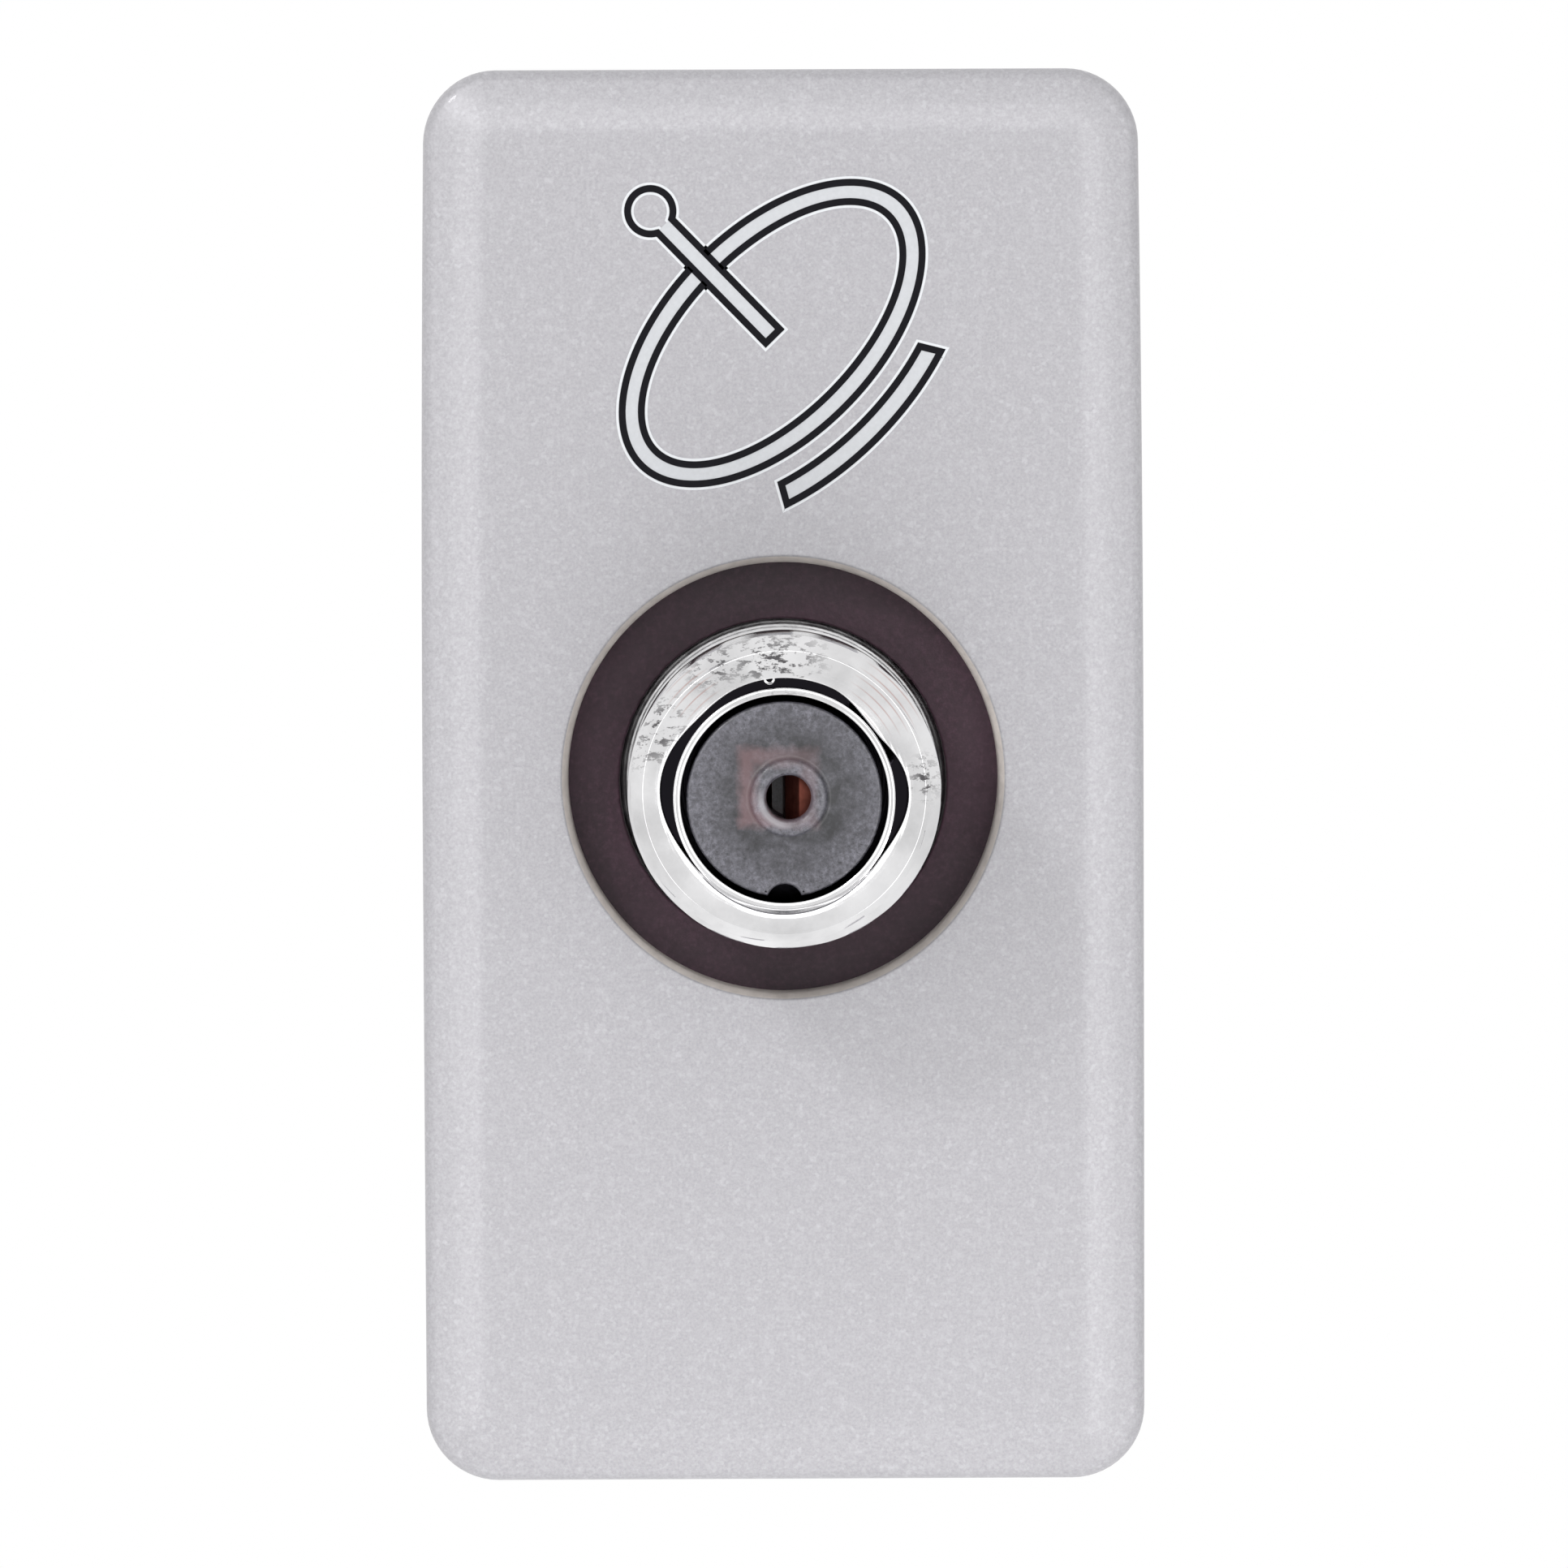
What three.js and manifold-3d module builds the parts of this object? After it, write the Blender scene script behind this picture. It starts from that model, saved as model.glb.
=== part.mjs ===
// One-module satellite TV outlet: a clip-in insert for a modular wiring-accessory frame,
// with a threaded female F connector on the front and a shielded wiring chamber behind.
//
// Frame: millimetres. +X right and +Z up as seen from the room, +Y into the wall.
// Origin: centre of the seat plane, where the insert's flange rests on the support frame.
import * as THREE from "three";
import { mergeVertices } from "three/addons/utils/BufferGeometryUtils.js";
import Module from "manifold-3d";

const wasm = await Module();
wasm.setup();

// ---------------------------------------------------------------- driving dimensions
const FACE_W = 22.4, FACE_H = 43.8, FACE_R = 2.25; // visible face of one 22.5 mm module
const FACE_Y = -9.0; // front face plane
const FACE_EDGE = 0.8; // rounding of the face's edge
const COVER_WALL = 1.3, COVER_FRONT = 1.6;
const COVER_END = -1.65; // rear edge of the cover's skirt
const HOLE_R = 6.67; // opening for the plug's nut
const FLANGE_W = 22.2, FLANGE_H = 43.6, FLANGE_R = 2.1, FLANGE_T = 1.6;
const INNER_W = 19.5, INNER_H = 40.9; // body inside the cover
const REAR_W = 21.2, REAR_H = 39.6, REAR_END = 9.6; // body behind the seat plane
const CAVITY_X = 8.4, CAVITY_Z = 15.7; // half sizes of the body's cavity
const CORE_Z = -0.2; // the shielded core hangs this far below the face's centre
const BODY_FRONT = -7.3, BODY_WALL_IN = -5.8; // dark wall seen through the opening
const BODY_BORE_R = 5.1;

const LATCH_HALF = 3.0, LATCH_TIP = 2.2, LATCH_ROOT = 8.2, LATCH_PIVOT_Y = 8.4;
const LATCH_IN = 18.6, LATCH_OUT = 19.7, HOOK_OUT = 20.9;

const THREAD_R = 4.76; // 3/8-32 UNEF, 9.525 mm over the crests
const TIP_Y = -15.0, FLANGE_FRONT = -5.75, CASE_FRONT = -4.2, CASE_WALL_IN = -2.9;
const SPIGOT_R = 4.0, SPIGOT_END = 0.3;

const NECK_X = 8.2, NECK_IN = 6.9, CHAMBER_X = 9.8, CHAMBER_IN = 8.5;
const CASE_Z = 15.5, CASE_Z_IN = 14.2, CHAMBER_Y = 9.7, CASE_END = 19.0;
const CABLE_Y = 14.4, CABLE_R = 3.6; // coaxial cable lying in the cradle
const DOOR_Y0 = 19.1, DOOR_Y1 = 20.4;
const HINGE_Y = 19.3, HINGE_Z = CORE_Z + 17.2, HINGE_R = 1.5;
const DOOR_SCREW_X = 6.6, DOOR_SCREW_Z = CORE_Z - 12.0, DOOR_SCREW_TRAVEL = 3.0;
const PCB_Y0 = 2.6, PCB_Y1 = 3.6;
const TERM_Z = CORE_Z + 5.2;
const CASE_SCREWS = [[-7.6, 17.6], [7.6, -17.95]];

// ---------------------------------------------------------------- helpers
function solid(geometry) {
  const g = geometry.index ? geometry.toNonIndexed() : geometry.clone();
  for (const k of Object.keys(g.attributes)) if (k !== "position") g.deleteAttribute(k);
  const m = mergeVertices(g, 1e-4);
  const tri = new Uint32Array(m.index.array);
  const make = () =>
    new wasm.Manifold(new wasm.Mesh({ numProp: 3, vertProperties: new Float32Array(m.attributes.position.array), triVerts: tri }));
  let s = make();
  if (s.volume() < 0) {
    for (let i = 0; i < tri.length; i += 3) [tri[i + 1], tri[i + 2]] = [tri[i + 2], tri[i + 1]];
    s = make();
  }
  return s;
}
const box = (x0, x1, y0, y1, z0, z1) =>
  solid(new THREE.BoxGeometry(x1 - x0, y1 - y0, z1 - z0).translate((x0 + x1) / 2, (y0 + y1) / 2, (z0 + z1) / 2));
// cylinders along each axis
const cylY = (r, y0, y1, x = 0, z = 0, seg = 32, r1 = r) =>
  solid(new THREE.CylinderGeometry(r1, r, y1 - y0, seg).translate(x, (y0 + y1) / 2, z));
const cylX = (r, x0, x1, y, z, seg = 24) =>
  solid(new THREE.CylinderGeometry(r, r, x1 - x0, seg).rotateZ(Math.PI / 2).translate((x0 + x1) / 2, y, z));
const cylZ = (r, z0, z1, x, y, seg = 32) =>
  solid(new THREE.CylinderGeometry(r, r, z1 - z0, seg).rotateX(Math.PI / 2).translate(x, y, (z0 + z1) / 2));
// body of revolution about the Y axis through (x, z): points are [radius, y], closing on themselves or on the axis
const latheY = (pts, x = 0, z = 0, seg = 48) => {
  const p = pts.map(([r, y]) => new THREE.Vector2(r, y));
  if (pts[0][0] > 0 || pts[pts.length - 1][0] > 0) p.push(p[0].clone());
  return solid(new THREE.LatheGeometry(p, seg).translate(x, 0, z));
};
function roundedRect(w, h, r) {
  const s = new THREE.Shape(), x = w / 2, y = h / 2;
  s.moveTo(-x + r, -y).lineTo(x - r, -y);
  s.absarc(x - r, -y + r, r, -Math.PI / 2, 0, false);
  s.lineTo(x, y - r);
  s.absarc(x - r, y - r, r, 0, Math.PI / 2, false);
  s.lineTo(-x + r, y);
  s.absarc(-x + r, y - r, r, Math.PI / 2, Math.PI, false);
  s.lineTo(-x, -y + r);
  s.absarc(-x + r, -y + r, r, Math.PI, 1.5 * Math.PI, false);
  return s;
}
// rounded rectangle in the XZ plane, drawn out along Y
const slab = (w, h, r, y0, y1, zc = 0, curveSegments = 6) =>
  solid(new THREE.ExtrudeGeometry(roundedRect(w, h, r), { depth: y1 - y0, bevelEnabled: false, curveSegments })
    .rotateX(Math.PI / 2).translate(0, y1, zc));
// polygon in the YZ plane, drawn out along X
const prismX = (pts, x0, x1) => {
  const s = new THREE.Shape(pts.map(([y, z]) => new THREE.Vector2(y, z)));
  const g = new THREE.ExtrudeGeometry(s, { depth: x1 - x0, bevelEnabled: false });
  // (y, z, depth) -> (depth, y, z)
  g.applyMatrix4(new THREE.Matrix4().set(0, 0, 1, x0, 1, 0, 0, 0, 0, 1, 0, 0, 0, 0, 0, 1));
  return solid(g);
};
const add = (first, ...rest) => rest.reduce((a, b) => a.add(b), first);
const cut = (first, ...rest) => rest.reduce((a, b) => a.subtract(b), first);

const root = new THREE.Group();
const place = (parent, name, made, material) => {
  const m = made.getMesh(), n = m.numProp, v = new Float32Array(m.numVert * 3);
  for (let i = 0; i < m.numVert; i++) v.set(m.vertProperties.subarray(i * n, i * n + 3), i * 3);
  const g = new THREE.BufferGeometry()
    .setAttribute("position", new THREE.BufferAttribute(v, 3))
    .setIndex(new THREE.BufferAttribute(m.triVerts, 1));
  g.computeVertexNormals();
  const mesh = new THREE.Mesh(g, material);
  mesh.name = name;
  parent.add(mesh);
  return mesh;
};
const mat = (color, roughness, metalness = 0) => new THREE.MeshStandardMaterial({ color, roughness, metalness });
const TITANIUM = mat(0xcbcacf, 0.45, 0.25);
const DARK_PLASTIC = mat(0x3c3238, 0.6);
const NICKEL = mat(0xe0dfde, 0.18, 1);
const DIECAST = mat(0x9a9b9c, 0.5, 1);
const STEEL = mat(0xc2c4c6, 0.3, 1);
const BRASS = mat(0xc9a455, 0.3, 1);
const BRONZE = mat(0xa5603c, 0.35, 1);
const SMOKE = mat(0x6c6b73, 0.45);
const WHITE_PLASTIC = mat(0xe9e6dd, 0.5);
const BOARD = mat(0x2f6b45, 0.5);
const FERRITE = mat(0x2b2a2c, 0.55);
const ENAMEL = mat(0xa4552c, 0.3, 1);
const CERAMIC = mat(0xb5713a, 0.5);
const RESISTOR = mat(0x1d1d20, 0.4);

// ---------------------------------------------------------------- front cover
const front = new THREE.Group();
root.add(front);
{
  const e = FACE_EDGE;
  const outer = solid(new THREE.ExtrudeGeometry(roundedRect(FACE_W - 2 * e, FACE_H - 2 * e, FACE_R - e), {
    depth: 12, bevelEnabled: true, bevelThickness: e, bevelSize: e, bevelSegments: 4, curveSegments: 6,
  }).rotateX(Math.PI / 2).translate(0, FACE_Y + e + 12, 0));
  const trimmed = cut(outer, box(-20, 20, COVER_END, 20, -30, 30));
  const inside = slab(FACE_W - 2 * COVER_WALL, FACE_H - 2 * COVER_WALL, 1.0, FACE_Y + COVER_FRONT, 4, 0, 4);
  const hole = add(
    cylY(HOLE_R, FACE_Y - 2, FACE_Y + 4, 0, 0, 64),
    latheY([[0, FACE_Y - 0.1], [HOLE_R + 0.35, FACE_Y - 0.1], [HOLE_R, FACE_Y + 0.25], [0, FACE_Y + 0.25]], 0, 0, 64));
  let cover = cut(trimmed, inside, hole);
  // grooves inside the long walls for the body's retaining lugs
  for (const s of [-1, 1]) for (const z of [-12, 12]) {
    const x = s * (FACE_W / 2 - COVER_WALL);
    cover = cut(cover, box(Math.min(x, x + s * 0.5), Math.max(x, x + s * 0.5), -4.6, -2.6, z - 2.8, z + 2.8));
  }
  place(front, "front_cover", cover, TITANIUM);
}

// ---------------------------------------------------------------- module body
{
  let body = add(
    slab(INNER_W, INNER_H, 0.9, BODY_FRONT, -1.5, 0, 4),
    slab(FLANGE_W, FLANGE_H, FLANGE_R, -FLANGE_T, 0, 0, 6),
    slab(REAR_W, REAR_H, 0.8, -0.1, REAR_END, 0, 4));
  for (const s of [-1, 1]) for (const z of [-12, 12]) {
    // lug with a lead-in ramp towards the front
    const lug = solid(new THREE.ExtrudeGeometry(new THREE.Shape([
      new THREE.Vector2(INNER_W / 2 - 0.1, -4.4), new THREE.Vector2(INNER_W / 2 + 0.4, -3.3),
      new THREE.Vector2(INNER_W / 2 + 0.4, -2.8), new THREE.Vector2(INNER_W / 2 - 0.1, -2.8)]),
      { depth: 5, bevelEnabled: false }).translate(0, 0, z - 2.5));
    body = body.add(s > 0 ? lug : lug.mirror([1, 0, 0]));
  }
  body = cut(body,
    box(-CAVITY_X, CAVITY_X, BODY_WALL_IN, REAR_END + 1, CORE_Z - CAVITY_Z, CORE_Z + CAVITY_Z),
    cylY(BODY_BORE_R, BODY_FRONT - 1, BODY_WALL_IN + 1, 0, CORE_Z, 48),
    box(-LATCH_HALF - 0.4, LATCH_HALF + 0.4, 1.7, LATCH_PIVOT_Y, 17.0, 25),
    box(-LATCH_HALF - 0.4, LATCH_HALF + 0.4, 1.7, LATCH_PIVOT_Y, -25, -17.0),
    ...CASE_SCREWS.map(([x, z]) => cylY(1.12, 3.0, REAR_END + 1, x, z, 20)));
  // lightening pockets in the four rear corners beside the screw bosses
  body = cut(body,
    box(5.0, 9.4, 1.6, REAR_END + 1, 16.6, 18.6),
    box(-9.4, -5.0, 1.6, REAR_END + 1, -18.6, -17.2));
  place(front, "module_body", body, DARK_PLASTIC);

  // snap tongues that hold the insert in the frame
  const tongue = add(
    box(-LATCH_HALF, LATCH_HALF, LATCH_TIP, LATCH_ROOT, LATCH_IN, LATCH_OUT),
    prismX([[LATCH_TIP, LATCH_OUT - 0.2], [4.9, LATCH_OUT - 0.2], [4.9, LATCH_OUT], [2.9, HOOK_OUT], [LATCH_TIP, HOOK_OUT]], -LATCH_HALF, LATCH_HALF));
  place(front, "latch_tongue_upper", tongue, DARK_PLASTIC);
  place(front, "latch_tongue_lower", tongue.mirror([0, 0, 1]), DARK_PLASTIC);
}

// ---------------------------------------------------------------- shielded core
const core = new THREE.Group();
root.add(core);
{
  const Z = CORE_Z;
  let shell = add(
    box(-NECK_X, NECK_X, CASE_FRONT, CHAMBER_Y + 1, Z - CASE_Z, Z + CASE_Z),
    box(-CHAMBER_X, CHAMBER_X, CHAMBER_Y, CASE_END, Z - CASE_Z, Z + CASE_Z),
    box(-9.8, -5.4, CHAMBER_Y, CHAMBER_Y + 1.6, Z + 15.0, 19.6),
    box(5.4, 9.8, CHAMBER_Y, CHAMBER_Y + 1.6, -19.6, Z - 15.0));
  shell = cut(shell,
    box(-NECK_IN, NECK_IN, CASE_WALL_IN, CASE_END + 1, Z - CASE_Z_IN, Z + CASE_Z_IN),
    box(-CHAMBER_IN, CHAMBER_IN, CHAMBER_Y + 1.2, CASE_END + 1, Z - CASE_Z_IN, Z + CASE_Z_IN),
    cylY(SPIGOT_R + 0.1, CASE_FRONT - 1, CASE_WALL_IN + 1, 0, Z, 48));
  // cable cradle, screw boss and rest post in the lower chamber, posts for the board
  let inner = add(
    box(-CHAMBER_IN - 0.2, CHAMBER_IN + 0.2, CHAMBER_Y + 0.2, 14.2, Z - 14.4, Z - 5.4),
    box(-NECK_IN - 0.2, NECK_IN + 0.2, 8.4, CHAMBER_Y + 0.4, Z - 14.4, Z - 5.4),
    cylY(1.95, 14.0, 18.9, DOOR_SCREW_X, DOOR_SCREW_Z, 24),
    cylY(1.95, 14.0, 18.9, -DOOR_SCREW_X, DOOR_SCREW_Z, 24));
  for (const sx of [-1, 1]) for (const [z0, z1] of [[Z - 5.4, Z - 4.0], [Z + 12.7, Z + 14.4]])
    inner = inner.add(box(sx < 0 ? -NECK_IN - 0.2 : 5.4, sx < 0 ? -5.4 : NECK_IN + 0.2, CASE_WALL_IN - 0.2, PCB_Y0, z0, z1));
  shell = shell.add(inner);
  shell = cut(shell,
    cylZ(CABLE_R, Z - 20, Z - 5, 0, CABLE_Y, 40),
    box(-CABLE_R, CABLE_R, CABLE_Y, CASE_END + 1, Z - 20, Z - CASE_Z_IN + 0.01),
    cylY(1.32, 12.6, 20, DOOR_SCREW_X, DOOR_SCREW_Z, 20),
    cylY(1.3, CHAMBER_Y - 1, CHAMBER_Y + 3, ...CASE_SCREWS[0], 20),
    cylY(1.3, CHAMBER_Y - 1, CHAMBER_Y + 3, ...CASE_SCREWS[1], 20));
  for (const s of [-1, 1]) {
    const x0 = s < 0 ? -5.0 : 3.2, x1 = s < 0 ? -3.2 : 5.0;
    shell = add(shell, cylX(HINGE_R, x0, x1, HINGE_Y, HINGE_Z), box(x0, x1, 16.4, HINGE_Y, Z + 15.3, HINGE_Z));
  }
  shell = cut(shell, cylX(0.63, -6, 6, HINGE_Y, HINGE_Z, 16));
  place(core, "diecast_case", shell, DIECAST);

  let door = add(
    box(-CHAMBER_X, CHAMBER_X, DOOR_Y0, DOOR_Y1, Z - CASE_Z, Z + 15.3),
    box(-3.0, 3.0, DOOR_Y0, DOOR_Y1, Z + 15.2, HINGE_Z),
    cylX(HINGE_R, -3.0, 3.0, HINGE_Y, HINGE_Z),
    box(-3.3, 3.3, 17.4, DOOR_Y0 + 0.2, Z - 12.6, Z - 6.6),
    box(-6.4, 6.4, DOOR_Y1 - 0.1, DOOR_Y1 + 0.5, Z - 3.2, Z + 11.6));
  door = cut(door,
    cylX(0.66, -6, 6, HINGE_Y, HINGE_Z, 16),
    cylZ(CABLE_R, Z - 20, Z - 5, 0, CABLE_Y, 40),
    cylY(1.36, DOOR_Y0 - 2, DOOR_Y1 + 2, DOOR_SCREW_X, DOOR_SCREW_Z, 20));
  place(core, "rear_door", door, DIECAST);
  place(core, "hinge_pin", cylX(0.6, -5.2, 5.2, HINGE_Y, HINGE_Z, 16), STEEL);

  // captive clamping screw, backed out, with the washer that travels under its head
  const wy = DOOR_Y1 + DOOR_SCREW_TRAVEL;
  place(core, "door_screw_washer",
    cut(cylY(2.4, wy, wy + 0.6, DOOR_SCREW_X, DOOR_SCREW_Z, 28), cylY(1.35, wy - 1, wy + 2, DOOR_SCREW_X, DOOR_SCREW_Z, 20)), STEEL);
  const hy = wy + 0.6;
  place(core, "door_screw", cut(
    latheY([[0, 19.0], [0.9, 19.0], [1.25, 19.4], [1.25, hy], [2.25, hy], [2.25, hy + 1.1], [1.7, hy + 1.7], [0, hy + 1.7]], DOOR_SCREW_X, DOOR_SCREW_Z, 24),
    box(DOOR_SCREW_X - 3, DOOR_SCREW_X + 3, hy + 0.8, hy + 3, DOOR_SCREW_Z - 0.35, DOOR_SCREW_Z + 0.35),
    box(DOOR_SCREW_X - 0.35, DOOR_SCREW_X + 0.35, hy + 0.8, hy + 3, DOOR_SCREW_Z - 1.5, DOOR_SCREW_Z + 1.5)), STEEL);

  // self-tapping screws that hold the case in the module body
  CASE_SCREWS.forEach(([x, z], i) => {
    const y = CHAMBER_Y + 1.6;
    place(core, i ? "case_screw_lower" : "case_screw_upper", cut(
      latheY([[0, 3.6], [0.35, 3.6], [1.05, 5.0], [1.05, y], [1.9, y], [1.9, y + 0.7], [1.2, y + 1.4], [0, y + 1.4]], x, z, 20),
      box(x - 1.3, x + 1.3, y + 0.7, y + 3, z - 0.3, z + 0.3),
      box(x - 0.3, x + 0.3, y + 0.7, y + 3, z - 1.3, z + 1.3)), STEEL);
  });
}

// ---------------------------------------------------------------- F connector
{
  const Z = CORE_Z;
  place(core, "connector_shell", latheY([
    [3.83, TIP_Y], [4.30, TIP_Y], [THREAD_R, TIP_Y + 0.5], [THREAD_R, -6.6], [4.35, -6.4], [4.35, FLANGE_FRONT],
    [6.0, FLANGE_FRONT], [6.0, CASE_FRONT], [SPIGOT_R, CASE_FRONT], [SPIGOT_R, SPIGOT_END], [2.0, SPIGOT_END],
    [2.0, -6.2], [3.3, -6.2], [3.3, TIP_Y + 0.35], [3.45, TIP_Y + 0.22]], 0, Z, 48), NICKEL);
  place(core, "front_insulator", cut(
    latheY([[0, -14.62], [0.68, -14.62], [0.8, -14.85], [1.05, -14.85], [1.2, -14.62], [3.0, -14.62], [3.0, -13.2],
      [3.25, -13.0], [3.25, -6.3], [0, -6.3]], 0, Z, 48),
    cylY(0.68, -16, -13, 0, Z, 20),
    box(-1.25, 1.25, -13.7, -6.0, Z - 1.25, Z + 1.25),
    cylY(0.57, -16, -13.6, 0, Z - 2.95, 16)), SMOKE);
  // box-section female contact with its tail
  place(core, "centre_contact", add(
    cut(box(-1.18, 1.18, -13.6, -7.4, Z - 1.18, Z + 1.18), box(-0.8, 0.8, -14, -8.2, Z - 0.8, Z + 0.8)),
    box(-0.78, -0.35, -13.2, -8.1, Z - 0.55, Z + 0.55), box(0.35, 0.78, -13.2, -8.1, Z - 0.55, Z + 0.55),
    box(-0.84, -0.7, -9.2, -8.1, Z - 0.5, Z + 0.5), box(0.7, 0.84, -9.2, -8.1, Z - 0.5, Z + 0.5),
    cylY(0.45, -7.5, 4.5, 0, Z, 12)), BRONZE);
  place(core, "rear_insulator", latheY([[0.5, -6.1], [1.93, -6.1], [1.93, 0.6], [0.5, 0.6]], 0, Z, 32), WHITE_PLASTIC);
  place(core, "connector_lock_washer", latheY([[4.1, CASE_WALL_IN], [6.0, CASE_WALL_IN], [6.0, CASE_WALL_IN + 0.6], [4.1, CASE_WALL_IN + 0.6]], 0, Z, 36), STEEL);
  place(core, "connector_nut", cut(
    solid(new THREE.CylinderGeometry(6.35, 6.35, 2.1, 6).translate(0, CASE_WALL_IN + 0.6 + 1.05, Z)),
    cylY(SPIGOT_R + 0.05, -4, 2, 0, Z, 48)), NICKEL);
}

// ---------------------------------------------------------------- circuit board and terminal
{
  const Z = CORE_Z;
  place(core, "circuit_board", cut(
    box(-6.7, 6.7, PCB_Y0, PCB_Y1, Z - 5.2, Z + 14.0),
    cylY(0.5, 0, 6, 0, Z, 12)), BOARD);
  place(core, "ferrite_core", cut(
    box(-5.9, -0.6, PCB_Y1, PCB_Y1 + 3.2, Z + 9.4, Z + 12.6),
    cylZ(0.75, Z + 8, Z + 14, -4.5, PCB_Y1 + 1.6, 12),
    cylZ(0.75, Z + 8, Z + 14, -2.0, PCB_Y1 + 1.6, 12)), FERRITE);
  place(core, "choke_coil", cut(
    cylZ(1.35, Z - 3.6, Z + 1.2, -4.9, PCB_Y1 + 1.6, 20),
    cylZ(0.9, Z - 5, Z + 3, -4.9, PCB_Y1 + 1.6, 16)).add(
      box(-5.1, -4.7, PCB_Y1, PCB_Y1 + 0.5, Z - 3.6, Z - 3.2)).add(box(-5.1, -4.7, PCB_Y1, PCB_Y1 + 0.5, Z + 0.8, Z + 1.2)), ENAMEL);
  place(core, "coupling_capacitor", add(
    latheY([[0, 0], [1.4, 0.05], [2.2, 0.45], [2.35, 0.8], [2.2, 1.15], [1.4, 1.55], [0, 1.6]], 0, 0, 24)
      .rotate([90, 0, 0]).translate([2.9, PCB_Y1 + 2.9, Z + 10.4]),
    cylY(0.3, PCB_Y1, PCB_Y1 + 1.6, 1.8, Z + 11.2, 8),
    cylY(0.3, PCB_Y1, PCB_Y1 + 1.6, 4.0, Z + 11.2, 8)), CERAMIC);
  place(core, "chip_resistor", box(3.6, 5.6, PCB_Y1, PCB_Y1 + 0.55, Z - 2.8, Z - 1.55), RESISTOR);

  place(core, "terminal_holder", cut(
    box(-3.6, 3.6, PCB_Y1, 9.0, TERM_Z - 3.2, TERM_Z + 3.2),
    box(-1.6, 1.6, PCB_Y1 - 1, 7.4, TERM_Z - 4, TERM_Z + 4)), WHITE_PLASTIC);
  place(core, "terminal_block", cut(
    box(-2.6, 2.6, 9.0, 15.4, TERM_Z - 2.8, TERM_Z + 2.8),
    box(-1.7, 1.7, 10.9, 13.9, TERM_Z - 4, TERM_Z + 4),
    cylY(1.32, 13, 17, 0, TERM_Z, 20)), BRASS);
  place(core, "terminal_clamp_plate", box(-1.6, 1.6, 13.0, 13.5, TERM_Z - 2.6, TERM_Z + 2.6), STEEL);
  place(core, "terminal_screw", cut(
    latheY([[0, 13.52], [1.0, 13.52], [1.25, 13.8], [1.25, 17.3], [2.1, 17.3], [2.1, 18.55], [1.85, 18.8], [0, 18.8]], 0, TERM_Z, 24),
    box(-3, 3, 18.0, 20, TERM_Z - 0.35, TERM_Z + 0.35)), STEEL);
}

export default root;
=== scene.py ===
"""One-module satellite outlet insert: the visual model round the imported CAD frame. Geometry is written in millimetres
in the CAD's frame (+X right, +Z up, the face towards -Y) and scaled to metres as each piece is made."""
import math

import bmesh
import bpy
from mathutils import Matrix, Vector, noise


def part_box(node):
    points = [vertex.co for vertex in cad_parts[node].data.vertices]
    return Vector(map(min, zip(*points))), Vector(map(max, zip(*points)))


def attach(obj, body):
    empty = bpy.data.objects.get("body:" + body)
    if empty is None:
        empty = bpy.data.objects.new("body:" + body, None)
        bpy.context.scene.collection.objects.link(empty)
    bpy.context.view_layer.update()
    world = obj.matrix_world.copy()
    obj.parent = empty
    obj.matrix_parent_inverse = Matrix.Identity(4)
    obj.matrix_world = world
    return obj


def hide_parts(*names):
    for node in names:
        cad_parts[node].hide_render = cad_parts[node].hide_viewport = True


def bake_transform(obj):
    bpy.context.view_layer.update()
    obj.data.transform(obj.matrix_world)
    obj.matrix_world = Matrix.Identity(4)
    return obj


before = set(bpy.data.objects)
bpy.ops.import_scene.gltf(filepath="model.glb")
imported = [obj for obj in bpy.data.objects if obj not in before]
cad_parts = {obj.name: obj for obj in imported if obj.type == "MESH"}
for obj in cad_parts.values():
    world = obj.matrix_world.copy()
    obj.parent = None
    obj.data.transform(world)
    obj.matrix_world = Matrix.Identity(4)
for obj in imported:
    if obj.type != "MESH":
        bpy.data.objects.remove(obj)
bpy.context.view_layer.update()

MM = 0.001
PI = math.pi


def lo(node):
    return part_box(node)[0] * 1000


def hi(node):
    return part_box(node)[1] * 1000


# ------------------------------------------------------------------ key sizes, read from the CAD
FACE_Y = lo("front_cover").y
HALF_W, HALF_H = hi("front_cover").x, hi("front_cover").z
SKIRT_Y = hi("front_cover").y
TIP_Y = lo("connector_shell").y
ZC = (lo("connector_shell").z + hi("connector_shell").z) / 2
THREAD_R, PITCH = 4.76, 25.4 / 32

# ------------------------------------------------------------------ mesh helpers


def finish_mesh(bm, name, mats, body, stands_for=(), smooth=32, recalc=True):
    """bm in millimetres becomes a piece that rides on body."""
    if recalc:
        bmesh.ops.recalc_face_normals(bm, faces=bm.faces)
    bmesh.ops.scale(bm, vec=(MM, MM, MM), verts=bm.verts)
    me = bpy.data.meshes.new(name)
    bm.to_mesh(me)
    bm.free()
    me.shade_smooth()
    me.set_sharp_from_angle(angle=math.radians(smooth))
    ob = bpy.data.objects.new(name, me)
    bpy.context.scene.collection.objects.link(ob)
    for m in mats if isinstance(mats, (list, tuple)) else [mats]:
        me.materials.append(m)
    if body:
        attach(ob, body)
    if stands_for:
        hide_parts(*stands_for)
    return ob


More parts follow.
